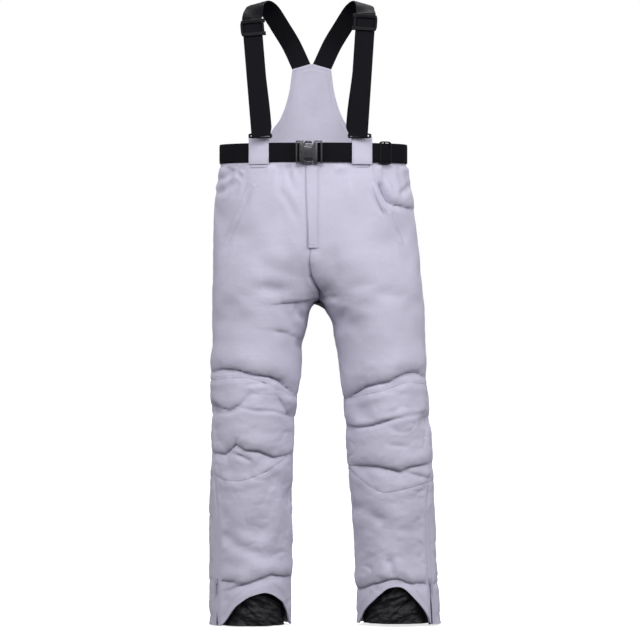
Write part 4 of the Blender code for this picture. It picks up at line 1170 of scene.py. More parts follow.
def make_gaiter(side):
    """The crinkled inner sleeve, gathered on its elastic at the boot."""
    u = np.linspace(0, 1, 161)
    z = np.linspace(GAITER_TOP_Z, GAITER_BOTTOM_Z[side], 60)[:, None]
    down = (GAITER_TOP_Z - z) / (GAITER_TOP_Z - GAITER_BOTTOM_Z[side])
    base = skin(side, u[None], z)
    middle = base.mean(1, keepdims=True)
    ring = np.stack((np.cos(2 * math.pi * u), np.sin(2 * math.pi * u)), -1) * 0.08
    coordinate = np.concatenate([np.broadcast_to(ring, (60, 161, 2)),
                                 np.broadcast_to(z[..., None], (60, 161, 1))], -1)
    slanted = coordinate * (1, 1, 3.4) + coordinate[..., :1] * (0, 0, 1.1)
    wrinkle = np.abs(noise(slanted, 0.055, 1.0)) + 0.5 * np.abs(noise(slanted, 0.024, 6.0))
    depth = 0.0072 + 0.0025 * down + 0.01 * wrinkle * np.minimum(1, down * 3 + 0.3)
    depth = depth + 0.0008 * np.sin(u[None] * 2 * math.pi * 56) * smoothstep((down - 0.86) / 0.1)
    outward = base - middle
    outward[..., 2] = 0
    outer = base - unit(outward) * depth[..., None]
    inner = base - unit(outward) * (depth + 0.0009)[..., None]
    for g in (outer, inner):
        g[:, -1] = g[:, 0]
    obj = shell(Shape(), outer, inner, side == "left").make(f"{side}_gaiter_cloth", (GAITER,))
    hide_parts(f"{side}_snow_gaiter")
    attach(obj, LEG_BODY[side])


def make_leg_zip(side, grid):
    """The coil zip's two tapes, seen where the seam gapes, with the coil along their edges."""
    n = normals(side, grid)
    rows = np.nonzero(grid[:, SIDE_COLUMN, 2] < LEG_ZIP_TOP_Z)[0]
    line, lean = grid[rows, SIDE_COLUMN], n[rows, SIDE_COLUMN]
    along = unit(np.gradient(line, axis=0))
    aside = unit(np.cross(along, lean))
    if (aside @ (grid[rows[0], SIDE_COLUMN + 1] - grid[rows[0], SIDE_COLUMN])).mean() < 0:
        aside = -aside
    for name, direction in (("front", -1), ("rear", 1)):
        middle = line - lean * 0.003 + aside * direction * 0.0048
        shape = sweep(Shape(), middle, aside, lean, flat_section(0.0086, 0.0008, 7))
        tooth, up = resampled(line - lean * 0.0022 + aside * direction * 0.0009, lean, step=0.0016)
        stitch(shape, tooth, up, 1)
        obj = fix_normals(shape.make(f"{side}_zip_tape_{name}", (TAPE, THREAD_BLACK)))
        take_place(obj, f"{side}_leg_zip_tape_{name}", LEG_BODY[side])
    repaint(f"{side}_leg_zip_slider", ENAMEL)
    repaint(f"{side}_leg_zip_pull", ENAMEL)


# ---------------------------------------------------------------- waist, fly, pockets, gusset


def make_waistband(side):
    """Half of the waistband, from the centre front round to the centre back."""
    u = np.linspace(0, 1, 121)
    z = np.linspace(-0.0003, WAIST_SEAM_Z, 15)[:, None]
    roll = 0.001 * bell((z + 0.0003) / 0.003)
    pucker = np.stack(np.broadcast_arrays(u * 0.6, z, 1.0), -1)
    outer = off_skin(side, u[None], z, -roll - 0.0002 + 0.0002 * noise(pucker, 0.012))
    inner = off_skin(side, u[None], z, -0.003 + roll)
    for g in (outer, inner):
        g[:, (0, -1), 0] = SIGN[side] * SEAM_GAP
    shape = shell(Shape(), outer, inner, side == "left")
    n = normals_plain(outer, side)
    for row in (1, 12):
        stitch(shape, outer[row, 2:-2], n[row, 2:-2])
    obj = shape.make(f"{side}_waistband_cloth", (OUTER, THREAD_LAVENDER))
    take_place(obj, f"{side}_waistband")


def normals_plain(grid, side):
    """Outward unit normals of a grid that isn't joined round the inseam."""
    return unit(np.cross(np.gradient(grid, axis=1), -np.gradient(grid, axis=0)) * SIGN[side])


def on_front(tree, x, z):
    """The point and outward normal on the front of the cloth at a place in the front view."""
    x = math.copysign(max(abs(x), 0.001), x)
    steps = (0, -0.0012, 0.0012)
    hits = [tree.ray_cast(Vector((x + step, -0.4, z)), Vector((0, 1, 0))) for step in steps]
    nearest = min(hit[0].y for hit in hits if hit[0])
    hit, normal, _, _ = next(hit for hit in hits if hit[0] and hit[0].y < nearest + 0.004)
    return np.array((x, hit.y, z)), np.array(normal if normal.y < 0 else -normal)


def forward_normals(grid):
    """Unit normals of a grid, all facing the front."""
    n = unit(np.cross(np.gradient(grid, axis=1), np.gradient(grid, axis=0)))
    return n * np.where(n[..., 1:2] > 0, -1, 1)


def front_strip(tree, middle_line, half_widths, across, rows, lift, thickness, edge_lift=None):
    """A strip lying on the front cloth along a line in the front view."""
    line = np.array(middle_line, float)
    line = smooth_path(line, np.linalg.norm(np.diff(line, axis=0), axis=1).sum() / rows)
    along = unit(np.gradient(line, axis=0))
    side = np.stack((-along[:, 1], along[:, 0]), -1)
    halves = np.interp(np.linspace(0, 1, len(line)), np.linspace(0, 1, len(half_widths)), half_widths)
    outer, inner = [], []
    for i, (p, s, half) in enumerate(zip(line, side, halves)):
        found = [on_front(tree, *(p + s * a * half)) for a in np.linspace(-1, 1, across)]
        points, lean = (np.array(values) for values in zip(*found))
        a = np.linspace(-1, 1, across)
        rise = lift * (1 - 0.45 * a**6) + (edge_lift(i / (len(line) - 1), a) if edge_lift else 0)
        inner.append(points + lean * rise[:, None])
        outer.append(points + lean * (rise + thickness)[:, None])
    return np.array(outer), np.array(inner)


FLAP_CLEAR = 0.0032  # how far the flap stands off the surface over the zip slider's run


def make_fly(tree):
    """The flap over the fly, its free edge stitched down to a turned corner at the foot."""
    line = ((-0.0005, -0.0485), (-0.0004, -0.09), (0.0, -0.14), (0.0003, -0.18), (0.0005, -0.2165))

    def flush(_, across):
        return -0.003 * smoothstep((across - 0.55) / 0.35)

    halves = (0.014, 0.0138, 0.0125, 0.011, 0.0102)
    outer, inner = front_strip(tree, line, halves, 23, 56, 0.0014, 0.0016, flush)
    xs = np.maximum(np.abs(inner[..., 0]), 0.0004)
    base = skin("left", u_for_x("left", xs, inner[..., 2]), inner[..., 2])[..., 1]
    short = np.maximum(inner[..., 1] - (base - FLAP_CLEAR), 0) * bell(inner[..., 0] / 0.012, 6)
    for _ in range(4):
        eased(short)
        eased(short.T)
    inner[..., 1] -= short
    outer[..., 1] -= short
    shape = fix_shell(outer, inner)
    n = forward_normals(outer)
    left = 1 if outer[0, 1, 0] < outer[0, -2, 0] else -2
    half = int(len(outer) * 0.62)
    stitch(shape, outer[1:half, left], n[1:half, left])
    # painted shadow: the lower free edge and the foot are stitched in the dark thread, standing in for the
    # shadow line along them
    stitch(shape, outer[half:-3, left], n[half:-3, left], 2)
    right = -4 if left == 1 else 3
    stitch(shape, outer[1:-3, right], n[1:-3, right])
    stitch(shape, outer[-3, 1:-1], n[-3, 1:-1], 2)
    obj = shape.make("fly_flap_cloth", (OUTER, THREAD_LAVENDER, THREAD_PAINTED_SHADOW))
    take_place(fix_normals(obj), "fly_flap")
    for node in ("right_fly_zip_tape", "left_fly_zip_tape"):
        obj = frame["nodes"][node]
        obj.data.materials.clear()
        obj.data.materials.append(FLY_TAPE)
    for node in ("fly_zip_slider", "waist_snap_cap", "waist_snap_socket"):
        repaint(node, NICKEL)


def fix_shell(outer, inner):
    """A shell whose faces are turned outwards whichever way the grid runs."""
    facing_out = np.cross(outer[0, 1] - outer[0, 0], outer[1, 0] - outer[0, 0]) @ (outer[0, 0] - inner[0, 0])
    return shell(Shape(), outer, inner, facing_out < 0)


def make_pocket(side, tree):
    """The welt along the slanted mouth of a hand pocket, lifted where the mouth gapes."""
    sign = SIGN[side]
    t = np.linspace(0, 1, 9)
    line = np.stack((sign * (0.126 + 0.05 * t + 0.006 * t * t), -0.082 - 0.128 * t), -1)
    gape = 0.003 if side == "left" else 0.0008

    def lifted(along, across):
        mouth = gape * np.maximum(across, 0) ** 2 * bell((along - 0.22) / 0.3)
        return mouth - 0.0015 * smoothstep((np.abs(across) - 0.62) / 0.3) * (side == "right" or across < 0)

    halves = (0.0085, 0.0095, 0.0095, 0.009, 0.007)
    outer, inner = front_strip(tree, line, halves, 9, 44, 0.0001, 0.001, lifted)
    shape = fix_shell(outer, inner)
    n = forward_normals(outer)
    for column in (1, -2):
        stitch(shape, outer[1:-1, column], n[1:-1, column])
    for row in (1, 2, -2, -3):
        stitch(shape, outer[row, 1:-1], n[row, 1:-1])
    obj = shape.make(f"{side}_pocket_welt_cloth", (OUTER, THREAD_LAVENDER))
    take_place(fix_normals(obj), f"{side}_pocket_welt")


def make_gusset():
    """The melange patch let in under the crossing of the seams."""
    rows = []
    for w in np.linspace(-1, 1, 17):
        side = "left" if w > 0 else "right"
        z = CROTCH_Z - 0.013 * abs(w)
        front_reach = 0.085 if w > 0 else 0.05
        row = []
        for v in np.linspace(-1, 1, 25):
            reach = (front_reach if v > 0 else 0.045) * (1 - 0.45 * abs(w))
            u = (reach * v) % 1.0
            p = off_skin(side, u, z, 0.0012)
            if abs(w) < 0.13:
                p = np.array((p[0] * 0.5, p[1], CROTCH_Z - 0.0024))
            row.append(p)
        rows.append(row)
    smooth = opened(np.array(rows))
    for _ in range(3):
        eased(smooth)
    n = unit(np.cross(np.gradient(smooth, axis=0), np.gradient(smooth, axis=1)))
    n *= np.where(n[..., 2:] > 0, -1, 1)
    obj = fix_shell(smooth + n * 0.0004, smooth - n * 0.0006).make("crotch_gusset_knit", (GUSSET,))
    take_place(fix_normals(obj), "crotch_gusset")


# ---------------------------------------------------------------- belt and tabs


def belt_out(side, u):
    """How far the belt's main run stands off: further where the returned end lies under it."""
    if side == "right":
        return np.full(np.shape(u), BELT_OUT)
    return BELT_OUT_DOUBLED + (BELT_OUT - BELT_OUT_DOUBLED) * np.clip((u - 0.36) / 0.1, 0, 1)


def belt_path(parts):
    """Points of a run of webbing round the waist, from (side, list of u, stand-off) parts."""
    path = np.concatenate([off_skin(side, u, BELT_BOTTOM_Z, np.asarray(out) + WEBBING / 2)
                           for side, u, out in parts])
    path[:, 2] = BELT_MIDDLE_Z
    return path


def web_piece(name, node, path, across, out, width):
    """A run of webbing in the place of a CAD node."""
    shape = sweep(Shape(), path, across, out, flat_section(width, WEBBING, 13))
    obj = fix_normals(shape.make(name, (WEB, THREAD_BLACK)))
    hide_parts(node)
    return obj


def belt_piece(name, node, path):
    up = np.broadcast_to((0.0, 0.0, 1.0), path.shape)
    out = unit(np.cross(unit(np.gradient(path, axis=0)), up))
    out *= np.where((out * (path * (1, 1, 0))).sum(-1, keepdims=True) < 0, -1, 1)
    return web_piece(name, node, path, up, out, WEBBING_WIDTH)


def make_belt():
    """The belt's main run, the end that carries the plug, and the end returned from the socket."""
    plug_low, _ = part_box("buckle_plug")
    start = float(u_for_x("left", BUCKLE_X + 0.0168, BELT_BOTTOM_Z))
    end = float(u_for_x("right", 0.111, BELT_BOTTOM_Z))
    left, right = np.linspace(start, 1, 150), np.linspace(1, end, 120)[1:]
    path = belt_path((("left", left, belt_out("left", left)), ("right", right, belt_out("right", right))))
    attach(belt_piece("belt_main", "belt_webbing", path), "root")
    first = float(u_for_x("right", abs(plug_low.x) - 0.009, BELT_BOTTOM_Z))
    last = float(u_for_x("right", 0.1104, BELT_BOTTOM_Z))
    us = np.linspace(first, last, 24)
    path = belt_path((("right", us, np.full(24, BELT_OUT)),))
    obj = belt_piece("belt_plug_end", "belt_right_end", path)
    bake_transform(obj)
    adjuster_low, adjuster_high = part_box("belt_adjuster")
    last = float(u_for_x("left", (adjuster_low.x + adjuster_high.x) / 2 - 0.003, BELT_BOTTOM_Z))
    us = np.linspace(start, last, 36)
    path = belt_path((("left", us, np.full(36, BELT_OUT)),))
    obj = belt_piece("belt_return", "belt_returned_end", path)
    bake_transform(obj)


def tab_shape(side, xs, profile, thickness, crowning):
    """A cloth strip standing over the belt, from a profile of heights and stand-offs."""
    profile = np.array(profile)
    flat = np.stack((profile[:, 1], np.zeros(len(profile)), profile[:, 0]), -1)
    flat = smooth_path(flat, 0.001)
    tangent = unit(np.gradient(flat, axis=0))
    outer, inner = [], []
    for (out, _, z), t in zip(flat, tangent):
        base_z = np.full(len(xs), min(z, BELT_BOTTOM_Z))
        u = u_for_x(side, xs, base_z)
        crown = -crowning * np.abs(np.linspace(-1, 1, len(xs))) ** 4
        for grid, half in ((outer, thickness / 2), (inner, -thickness / 2)):
            p = off_skin(side, u, base_z, out + crown + half * t[2])
            p[:, 2] = z - half * t[0]
            grid.append(p)
    return np.array(outer), np.array(inner)


def make_tab(side):
    """The loop that holds the belt and, in its fold, the suspender's ring."""
    clear, middle = TAB_CLEAR[side], TAB_MIDDLE[side]
    end = clear - 0.0062 if side == "left" else -0.0016
    # height, stand-off
    profile = ((-0.0512, 0.002), (-0.047, 0.002), (-0.0448, 0.0022), (-0.0442, clear - 0.0004),
               (-0.042, clear), (-0.02, clear + 0.0003), (0.002, clear + 0.0005), (0.009, clear + 0.001),
               (0.0115, clear - 0.0002), (0.0122, clear - 0.0022), (0.0112, clear - 0.0044),
               (0.008, clear - 0.0058), (0.002, end))
    xs = np.linspace(middle - 0.02, middle + 0.02, 15)
    outer, inner = tab_shape(side, xs, profile, 0.0022, 0.0006)
    shape = fix_shell(outer, inner)
    n = unit(outer - inner)
    lower = np.nonzero(outer[:, 7, 2] < -0.044)[0][-1]
    top = int(len(outer) * 0.62)
    for column in (1, -2):
        stitch(shape, outer[1:top, column], n[1:top, column])
    # painted shadow: the rows at the tab's foot and at the belt's lower edge use the dark thread, standing in
    # for the shadow lines there
    stitch(shape, outer[1, 1:-1], n[1, 1:-1], 2)
    stitch(shape, outer[lower, 1:-1], n[lower, 1:-1], 2)
    # painted light: the tab is made of the lighter copy of the shell cloth
    obj = shape.make(f"{side}_tab_cloth", (LIT_CLOTH, THREAD_LAVENDER, THREAD_PAINTED_SHADOW))
    take_place(fix_normals(obj), f"{side}_front_tab")


def make_back_loop(side):
    """The narrow loop that holds the belt at the back."""
    profile = ((-0.049, 0.0013), (-0.044, 0.0018), (-0.0418, 0.0036), (-0.04, 0.0043), (-0.02, 0.0044),
               (-0.004, 0.0042), (0.0004, 0.0034))
    profile = np.array(profile)
    flat = smooth_path(np.stack((profile[:, 1], np.zeros(len(profile)), profile[:, 0]), -1), 0.0016)
    us = np.linspace(0.8, 0.83, 9)
    outer, inner = [], []
    for out, _, z in flat:
        for grid, half in ((outer, 0.0008), (inner, -0.0008)):
            p = off_skin(side, us, np.full(9, min(z, BELT_BOTTOM_Z)), out + half)
            p[:, 2] = z
            grid.append(p)
    outer, inner = np.array(outer), np.array(inner)
    shape = fix_shell(outer, inner)
    n = unit(outer - inner)
    for column in (1, -2):
        stitch(shape, outer[1:-1, column], n[1:-1, column])
    # painted light: the loop uses the lighter copy of the shell cloth
    obj = shape.make(f"{side}_loop_cloth", (LIT_CLOTH, THREAD_LAVENDER))
    take_place(fix_normals(obj), f"{side}_back_belt_loop")


# ---------------------------------------------------------------- suspenders and bib


def strap_frames(path):
    """Across and outward directions of a strap: its broad face turns away from the loop it makes."""
    along = unit(np.gradient(path, axis=0))
    away = np.stack((np.zeros(len(path)), path[:, 1], np.maximum(path[:, 2] - SHOULDER_Z, 0) * 3), -1)
    away = unit(away - along * (away * along).sum(-1, keepdims=True))
    return unit(np.cross(along, away)), away


def strap_run(side):
    """Foot and slider of a suspender's straight front run, and its upward and outward directions."""
    foot, slider = np.array(STRAP_FOOT[side]), np.array(STRAP_SLIDER[side])
    up = unit(slider - foot)
    out = np.array((0, -1.0, 0))
    return foot, slider, up, unit(out - up * (out @ up))


def make_suspender(side):
    """A suspender from its ring over the shoulder to the bib, and its end returned to the slider."""
    foot, slider, up, out = strap_run(side)
    above = slider + up * 0.018
    low = foot - up * 0.003
    run = low + np.linspace(0, 1, 50)[:, None] * (above - low)
    tail = smooth_path([above, *STRAP_TOP[side], STRAP_END[side]], 0.004)
    path = np.concatenate([run, tail[1:]])
    across, away = strap_frames(path)
    lean = math.radians(17) * smoothstep((path[:, 2] - 0.262) / 0.02)[:, None]
    lean = lean * np.sign(across[:, :1]) * SIGN[side]
    across, away = across * np.cos(lean) - away * np.sin(lean), away * np.cos(lean) + across * np.sin(lean)
    obj = web_piece(f"{side}_suspender_webbing", f"{side}_strap", path, across, away, WEBBING_WIDTH)
    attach(obj, "root")
    ring_low, ring_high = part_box(f"{side}_strap_ring")
    bar_y, bar_z = (ring_low.y + ring_high.y) / 2, ring_high.z - 0.0013
    turn = [(foot[0], bar_y - 0.0026 * math.cos(angle), bar_z - 0.0026 * math.sin(angle))
            for angle in np.linspace(0.5, math.pi, 8)]
    back = [foot - out * 0.0052 + up * 0.006, foot + (slider - foot) * 0.45 - out * 0.0036,
            slider - up * 0.0032 - out * 0.0026]
    path = np.concatenate([np.array(turn), smooth_path(back, 0.004)])
    path[:, 0] = np.interp(path[:, 2], (foot[2], slider[2]), (foot[0], slider[0]))
    climb = path[:, 2] - foot[2]
    peek = smoothstep(climb / 0.016) * (1 - smoothstep((climb - 0.03) / 0.12))
    path[:, 0] -= SIGN[side] * STRAP_PEEK[side] * peek
    along = unit(np.gradient(path, axis=0))
    sideways = np.broadcast_to(unit(np.cross(up, out)), path.shape)
    outwards = unit(np.cross(sideways, along))
    obj = web_piece(f"{side}_suspender_return", f"{side}_strap_returned_end", path, sideways, outwards,
                    WEBBING_WIDTH - 0.001)
    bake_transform(obj)


def bib_grid(out):
    """The bib's surface, standing off by out towards the back."""
    across = np.linspace(-1, 1, 57)[None]
    climb = np.linspace(1, 0, 61)[:, None]
    top = BIB_TOP_Z - BIB_PEAK * np.sqrt(across**2 + 0.0016)
    z = BIB_OUTLINE[0, 0] + (top - BIB_OUTLINE[0, 0]) * climb
    half = read_curve(z, BIB_OUTLINE[:, 0], BIB_OUTLINE[:, 1])
    x = BIB_MIDDLE_X + across * half
    curve = 0.1 * np.sqrt(np.maximum(1 - (x / 0.192) ** 2, 0))
    y = curve + (0.0985 - curve) * 0.6 * np.minimum(z / 0.12, 1)
    p = np.stack((x, y, z), -1)
    soft = noise(p, 0.045, 3.0) * 0.0009 + noise(p * (1, 1, 0.5), 0.016, 8.0) * 0.0004
    return p + np.stack((0 * x, out + soft, 0 * x), -1)


def make_bib():
    """Two layers of shell cloth, topstitched together round the edge with the strap ends between."""
    rows, columns = np.arange(61)[:, None], np.arange(57)[None]
    edge = np.minimum(rows, np.minimum(columns, 56 - columns) * 1.3)
    fade = 0.0009 * bell(edge / 1.6)
    groove = 0.0006 * bell((edge - 3.2) / 1.1)
    layers = (("bib_outer_cloth", "back_bib", 0.0036, 0.0018, 1),
              ("bib_inner_cloth", "back_bib_lining", -0.003, 0.0012, -1))
    for name, node, out, thickness, turn in layers:
        outer, inner = bib_grid(out), bib_grid(out - turn * thickness)
        outer[..., 1] -= turn * (fade + groove)
        shape = fix_shell(outer, inner)
        n = np.broadcast_to((0.0, float(turn), 0.0), outer.shape)
        for inset in (2, 5):
            stitch(shape, outer[1:-1, inset], n[1:-1, inset])
            stitch(shape, outer[1:-1, -1 - inset], n[1:-1, -1 - inset])
            stitch(shape, outer[inset, inset:-inset], n[inset, inset:-inset])
        # painted shade: both layers use the darker copy of the shell cloth
        obj = shape.make(name, (SHADED_BIB_CLOTH, THREAD_LAVENDER))
        take_place(fix_normals(obj), node)


# ---------------------------------------------------------------- hardware


def rounded(half_a, half_b, count=20, power=4.0):
    """A rounded rectangle as (across, out) offsets."""
    angle = np.arange(count) * 2 * math.pi / count
    c, s = np.cos(angle), np.sin(angle)
    return np.stack((half_a * np.sign(c) * np.abs(c) ** (2 / power),
                     half_b * np.sign(s) * np.abs(s) ** (2 / power)), -1)


def loft(shape, rings):
    """A closed solid through a list of rings with the same number of points."""
    rings = np.asarray(rings)
    count, around = rings.shape[:2]
    return shape.add(rings.reshape(-1, 3), np.zeros((count * around, 2)), tube_faces(count, around))


class Frame:
    """A place with its own across, out and up directions."""

    def __init__(self, origin, across, out, up):
        self.origin, self.axes = np.array(origin, float), np.array((across, out, up), float)

    def at(self, points):
        return self.origin + np.asarray(points, float) @ self.axes


def bar(shape, frame, start, end, half_a, half_b):
    """A moulded bar between two places of a frame, its ends drawn in."""
    start, end = np.array(start, float), np.array(end, float)
    along = unit(end - start)
    a = np.array((0, 0, 1.0)) if abs(along[0]) > 0.7 else np.array((1.0, 0, 0))
    b = np.array((0, 1.0, 0))
    rings = []
    # how far along the bar, how much of its thickness
    ends = ((0, 0.55), (0.03, 0.86), (0.09, 1), (0.3, 1), (0.5, 1), (0.7, 1), (0.91, 1), (0.97, 0.86),
            (1, 0.55))
    for t, k in ends:
        section = rounded(half_a * k, half_b * k)
        ring = start + (end - start) * t + section[:, :1] * a + section[:, 1:] * b
        rings.append(frame.at(ring))
    return loft(shape, rings)


def hoop(shape, frame, half_w, half_h, side_bar, top_bar, depth, out=0.0, power=7.0):
    """A rounded rectangular frame whose top and bottom bars are stouter than its sides."""
    angle = np.linspace(0, 2 * math.pi, 64, endpoint=False)
    c, s = np.cos(angle), np.sin(angle)
    x = half_w * np.sign(c) * np.abs(c) ** (2 / power)
    z = half_h * np.sign(s) * np.abs(s) ** (2 / power)
    path = np.stack((x, np.full(64, out), z), -1)
    along = unit(np.roll(path, -1, 0) - np.roll(path, 1, 0))
    outward = np.cross(along, (0, -1.0, 0))
    outward *= np.where((outward * path).sum(-1, keepdims=True) < 0, -1, 1)
    width = np.where(np.abs(outward[:, 2]) > 0.7, top_bar, side_bar)
    width = (np.roll(width, 1) + 2 * width + np.roll(width, -1)) / 4
    section = rounded(1, 1, 16, 3.2)
    rings = path[:, None] + outward[:, None] * (section[None, :, :1] * width[:, None, None] / 2)
    rings = rings + np.array((0, 1.0, 0)) * section[None, :, 1:] * depth / 2
    count, around = rings.shape[:2]
    index = np.arange(count * around).reshape(count, around)
    low, turned = np.roll(index, -1, 0), np.roll(index, -1, 1)
    faces = np.stack((index, turned, np.roll(turned, -1, 0), low), -1).reshape(-1, 4).tolist()
    return shape.add(frame.at(rings.reshape(-1, 3)), np.zeros((count * around, 2)), faces)


def finish_part(shape, name, node, material, body):
    obj = fix_normals(shape.make(name, (material,), 55))
    return take_place(obj, node, body)


def make_slider(side):
    """A ladder slider: the strap runs over its middle bar and behind its stout end bars."""
    _, slider, up, out = strap_run(side)
    frame, shape = Frame(slider, np.cross(up, out) * -1, -out, up), Shape()
    hoop(shape, frame, 0.022, 0.0132, 0.0048, 0.0084, 0.0066, out=-0.0018)
    bar(shape, frame, (-0.0212, 0.0024, 0), (0.0212, 0.0024, 0), 0.003, 0.0011)
    for z in (-0.0132, 0.0132):
        x = SIGN[side] * 0.0236
        bar(shape, frame, (x, -0.0018, z - 0.004), (x, -0.0018, z + 0.004), 0.0034, 0.0034)
        bar(shape, frame, (-0.0195, -0.0048, z * 1.12), (0.0195, -0.0048, z * 1.12), 0.0018, 0.001)
    finish_part(shape, f"{side}_ladder_slider", f"{side}_strap_slider", SATIN,
                f"{side}_suspender_slider")


def make_ring(side):
    """The rectangular ring in the tab's fold."""
    low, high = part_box(f"{side}_strap_ring")
    middle, shape = (low + high) / 2, Shape()
    frame = Frame(middle, (1, 0, 0), (0, 1, 0), (0, 0, 1))
    hoop(shape, frame, 0.0217, (high.z - low.z) / 2 - 0.0013, 0.0052, 0.0034, 0.0028, power=9.0)
    finish_part(shape, f"{side}_ring", f"{side}_strap_ring", SATIN, "root")


def make_adjuster():
    """The three-bar slide on the belt, beside the wearer's left tab."""
    low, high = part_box("belt_adjuster")
    x = (low.x + high.x) / 2
    u = float(u_for_x("left", x, BELT_BOTTOM_Z))
    along = unit(skin("left", u + 0.01, BELT_BOTTOM_Z) - skin("left", u - 0.01, BELT_BOTTOM_Z))
    outward = np.cross((0, 0, 1.0), along)
    outward *= -1 if outward[1] > 0 else 1
    place = off_skin("left", u, BELT_BOTTOM_Z, BELT_OUT_DOUBLED + WEBBING / 2)
    place[2] = (low.z + high.z) / 2
    frame, shape = Frame(place, along, -outward, (0, 0, 1)), Shape()
    half_h = (high.z - low.z) / 2 - 0.0015
    hoop(shape, frame, 0.0125, half_h, 0.004, 0.003, 0.005, out=-0.0006)
    bar(shape, frame, (0, 0.0021, -half_h + 0.001), (0, 0.0021, half_h - 0.001), 0.0022, 0.0007)
    for x in (-0.0125, 0.0125):
        bar(shape, frame, (x, -0.003, -half_h + 0.002), (x, -0.003, half_h - 0.002), 0.001, 0.0007)
    finish_part(shape, "belt_slide", "belt_adjuster", SATIN, "adjuster")


BUCKLE_PLANE = -0.0062  # the middle of the buckle's depth, out from the belt


def body_ring(x, half, front):
    """Sections at x of the socket's crowned front plate and its flat back plate."""
    back, cavity = 0.006, 0.003
    section = rounded(half, 1, 40, 5.0)
    above, below = np.maximum(-section[:, 1], 0), np.maximum(section[:, 1], 0)
    dome = 0.86 + 0.14 * np.cos(np.clip(section[:, 0] / half, -1, 1) * math.pi / 2)
    plates = (-cavity - (front * dome - cavity) * above, cavity + (back - cavity) * below)
    return [np.stack((np.full(40, x), BUCKLE_PLANE + y, section[:, 0]), -1) for y in plates]


def make_buckle():
    """A side-release buckle: a crowned socket, notched for the two latch arms, and the forked plug."""
    low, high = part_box("buckle_socket")
    frame = Frame((BUCKLE_X, high.y, (low.z + high.z) / 2), (1, 0, 0), (0, 1, 0), (0, 0, 1))
    socket = Shape()
    # x, half height, crown
    stations = ((-0.016, 0.0212, 0.005), (-0.0156, 0.0226, 0.0058), (-0.014, 0.0236, 0.0066),
                (-0.0116, 0.0236, 0.007), (-0.0108, 0.019, 0.0072), (-0.0098, 0.015, 0.0074),
                (-0.007, 0.0142, 0.0077), (-0.001, 0.014, 0.008), (0.005, 0.014, 0.0078),
                (0.0078, 0.015, 0.0074), (0.0089, 0.0204, 0.007), (0.01, 0.0232, 0.0066),
                (0.0138, 0.0236, 0.006), (0.0155, 0.0228, 0.0052), (0.016, 0.0214, 0.0046))
    sections = [body_ring(*station) for station in stations]
    for plate in zip(*sections):
        loft(socket, [frame.at(ring) for ring in plate])
    bar(socket, frame, (0.0122, BUCKLE_PLANE, -0.0222), (0.0122, BUCKLE_PLANE, 0.0222), 0.0036, 0.0034)
    for sign in (-1, 1):
        bar(socket, frame, (-0.0156, BUCKLE_PLANE, sign * 0.0222), (-0.0108, BUCKLE_PLANE, sign * 0.0222),
            0.0011, 0.0034)
        bar(socket, frame, (0.014, BUCKLE_PLANE, sign * 0.0224), (0.0262, BUCKLE_PLANE, sign * 0.0224),
            0.0014, 0.0036)
    bar(socket, frame, (0.0256, -0.0068, -0.0234), (0.0256, -0.0068, 0.0234), 0.0018, 0.004)
    bar(socket, frame, (0.0168, -0.0092, -0.019), (0.0168, -0.0092, 0.019), 0.001, 0.0016)
    for z in (-0.012, 0.012):
        bar(socket, frame, (-0.0126, -0.013, z * 0.7), (0.011, -0.0134, z), 0.0006, 0.0006)
    finish_part(socket, "buckle_socket_shell", "buckle_socket", GLOSS, "root")
    plug = Shape()
    for x, half_x, half_y in ((-0.0257, 0.0016, 0.0034), (-0.0184, 0.0015, 0.0044)):
        bar(plug, frame, (x, -0.0068, -0.0232), (x, -0.0068, 0.0232), half_x, half_y)
    for z in (-0.0222, 0.0222):
        bar(plug, frame, (-0.0266, -0.0064, z), (-0.0172, -0.0064, z), 0.0015, 0.0036)
    bar(plug, frame, (-0.0176, -0.006, 0), (0.002, -0.006, 0), 0.004, 0.0016)
    finish_part(plug, "buckle_plug_fork", "buckle_plug", GLOSS, "plug")
    for name, sign, body in (("upper", 1, "upper_latch"), ("lower", -1, "lower_latch")):
        arm = Shape()
        # x, distance from the middle, half width, half depth
        route = ((-0.0164, 0.01, 0.0016, 0.0016), (-0.013, 0.012, 0.002, 0.0018),
                 (-0.0096, 0.0168, 0.0028, 0.0024), (-0.0078, 0.0202, 0.0028, 0.0028),
                 (-0.005, 0.0212, 0.0024, 0.0042), (-0.001, 0.0208, 0.0024, 0.0044),
                 (0.003, 0.0208, 0.0024, 0.0042), (0.0052, 0.0204, 0.002, 0.0036),
                 (0.0062, 0.0196, 0.001, 0.0022))
        rings = []
        for x, z, half_z, half_y in route:
            across, out = rounded(half_z, half_y, 20, 3.0).T
            rings.append(frame.at(np.stack((np.full(20, x), BUCKLE_PLANE + out, sign * z + across), -1)))
        loft(arm, rings)
        for x in (-0.0046, -0.002, 0.0006, 0.0032):
            bar(arm, frame, (x, -0.0098, sign * 0.019), (x, -0.0098, sign * 0.023), 0.0005, 0.0012)
        finish_part(arm, f"buckle_{name}_arm", f"plug_arm_{name}", GLOSS, body)


def make_hardware():
    for side in SIDES:
        make_slider(side)
        make_ring(side)
    make_buckle()
    make_adjuster()


# ---------------------------------------------------------------- studio


def area_light(name, place, target, size, power):
    """A square lamp at a place, turned towards a target."""
    data = bpy.data.lights.new(name, "AREA")
    data.shape, data.size, data.energy = "SQUARE", size, power
    light = bpy.data.objects.new(name, data)
    light.location = place
    light.rotation_euler = (Vector(target) - Vector(place)).to_track_quat("-Z", "Y").to_euler()
    bpy.context.scene.collection.objects.link(light)


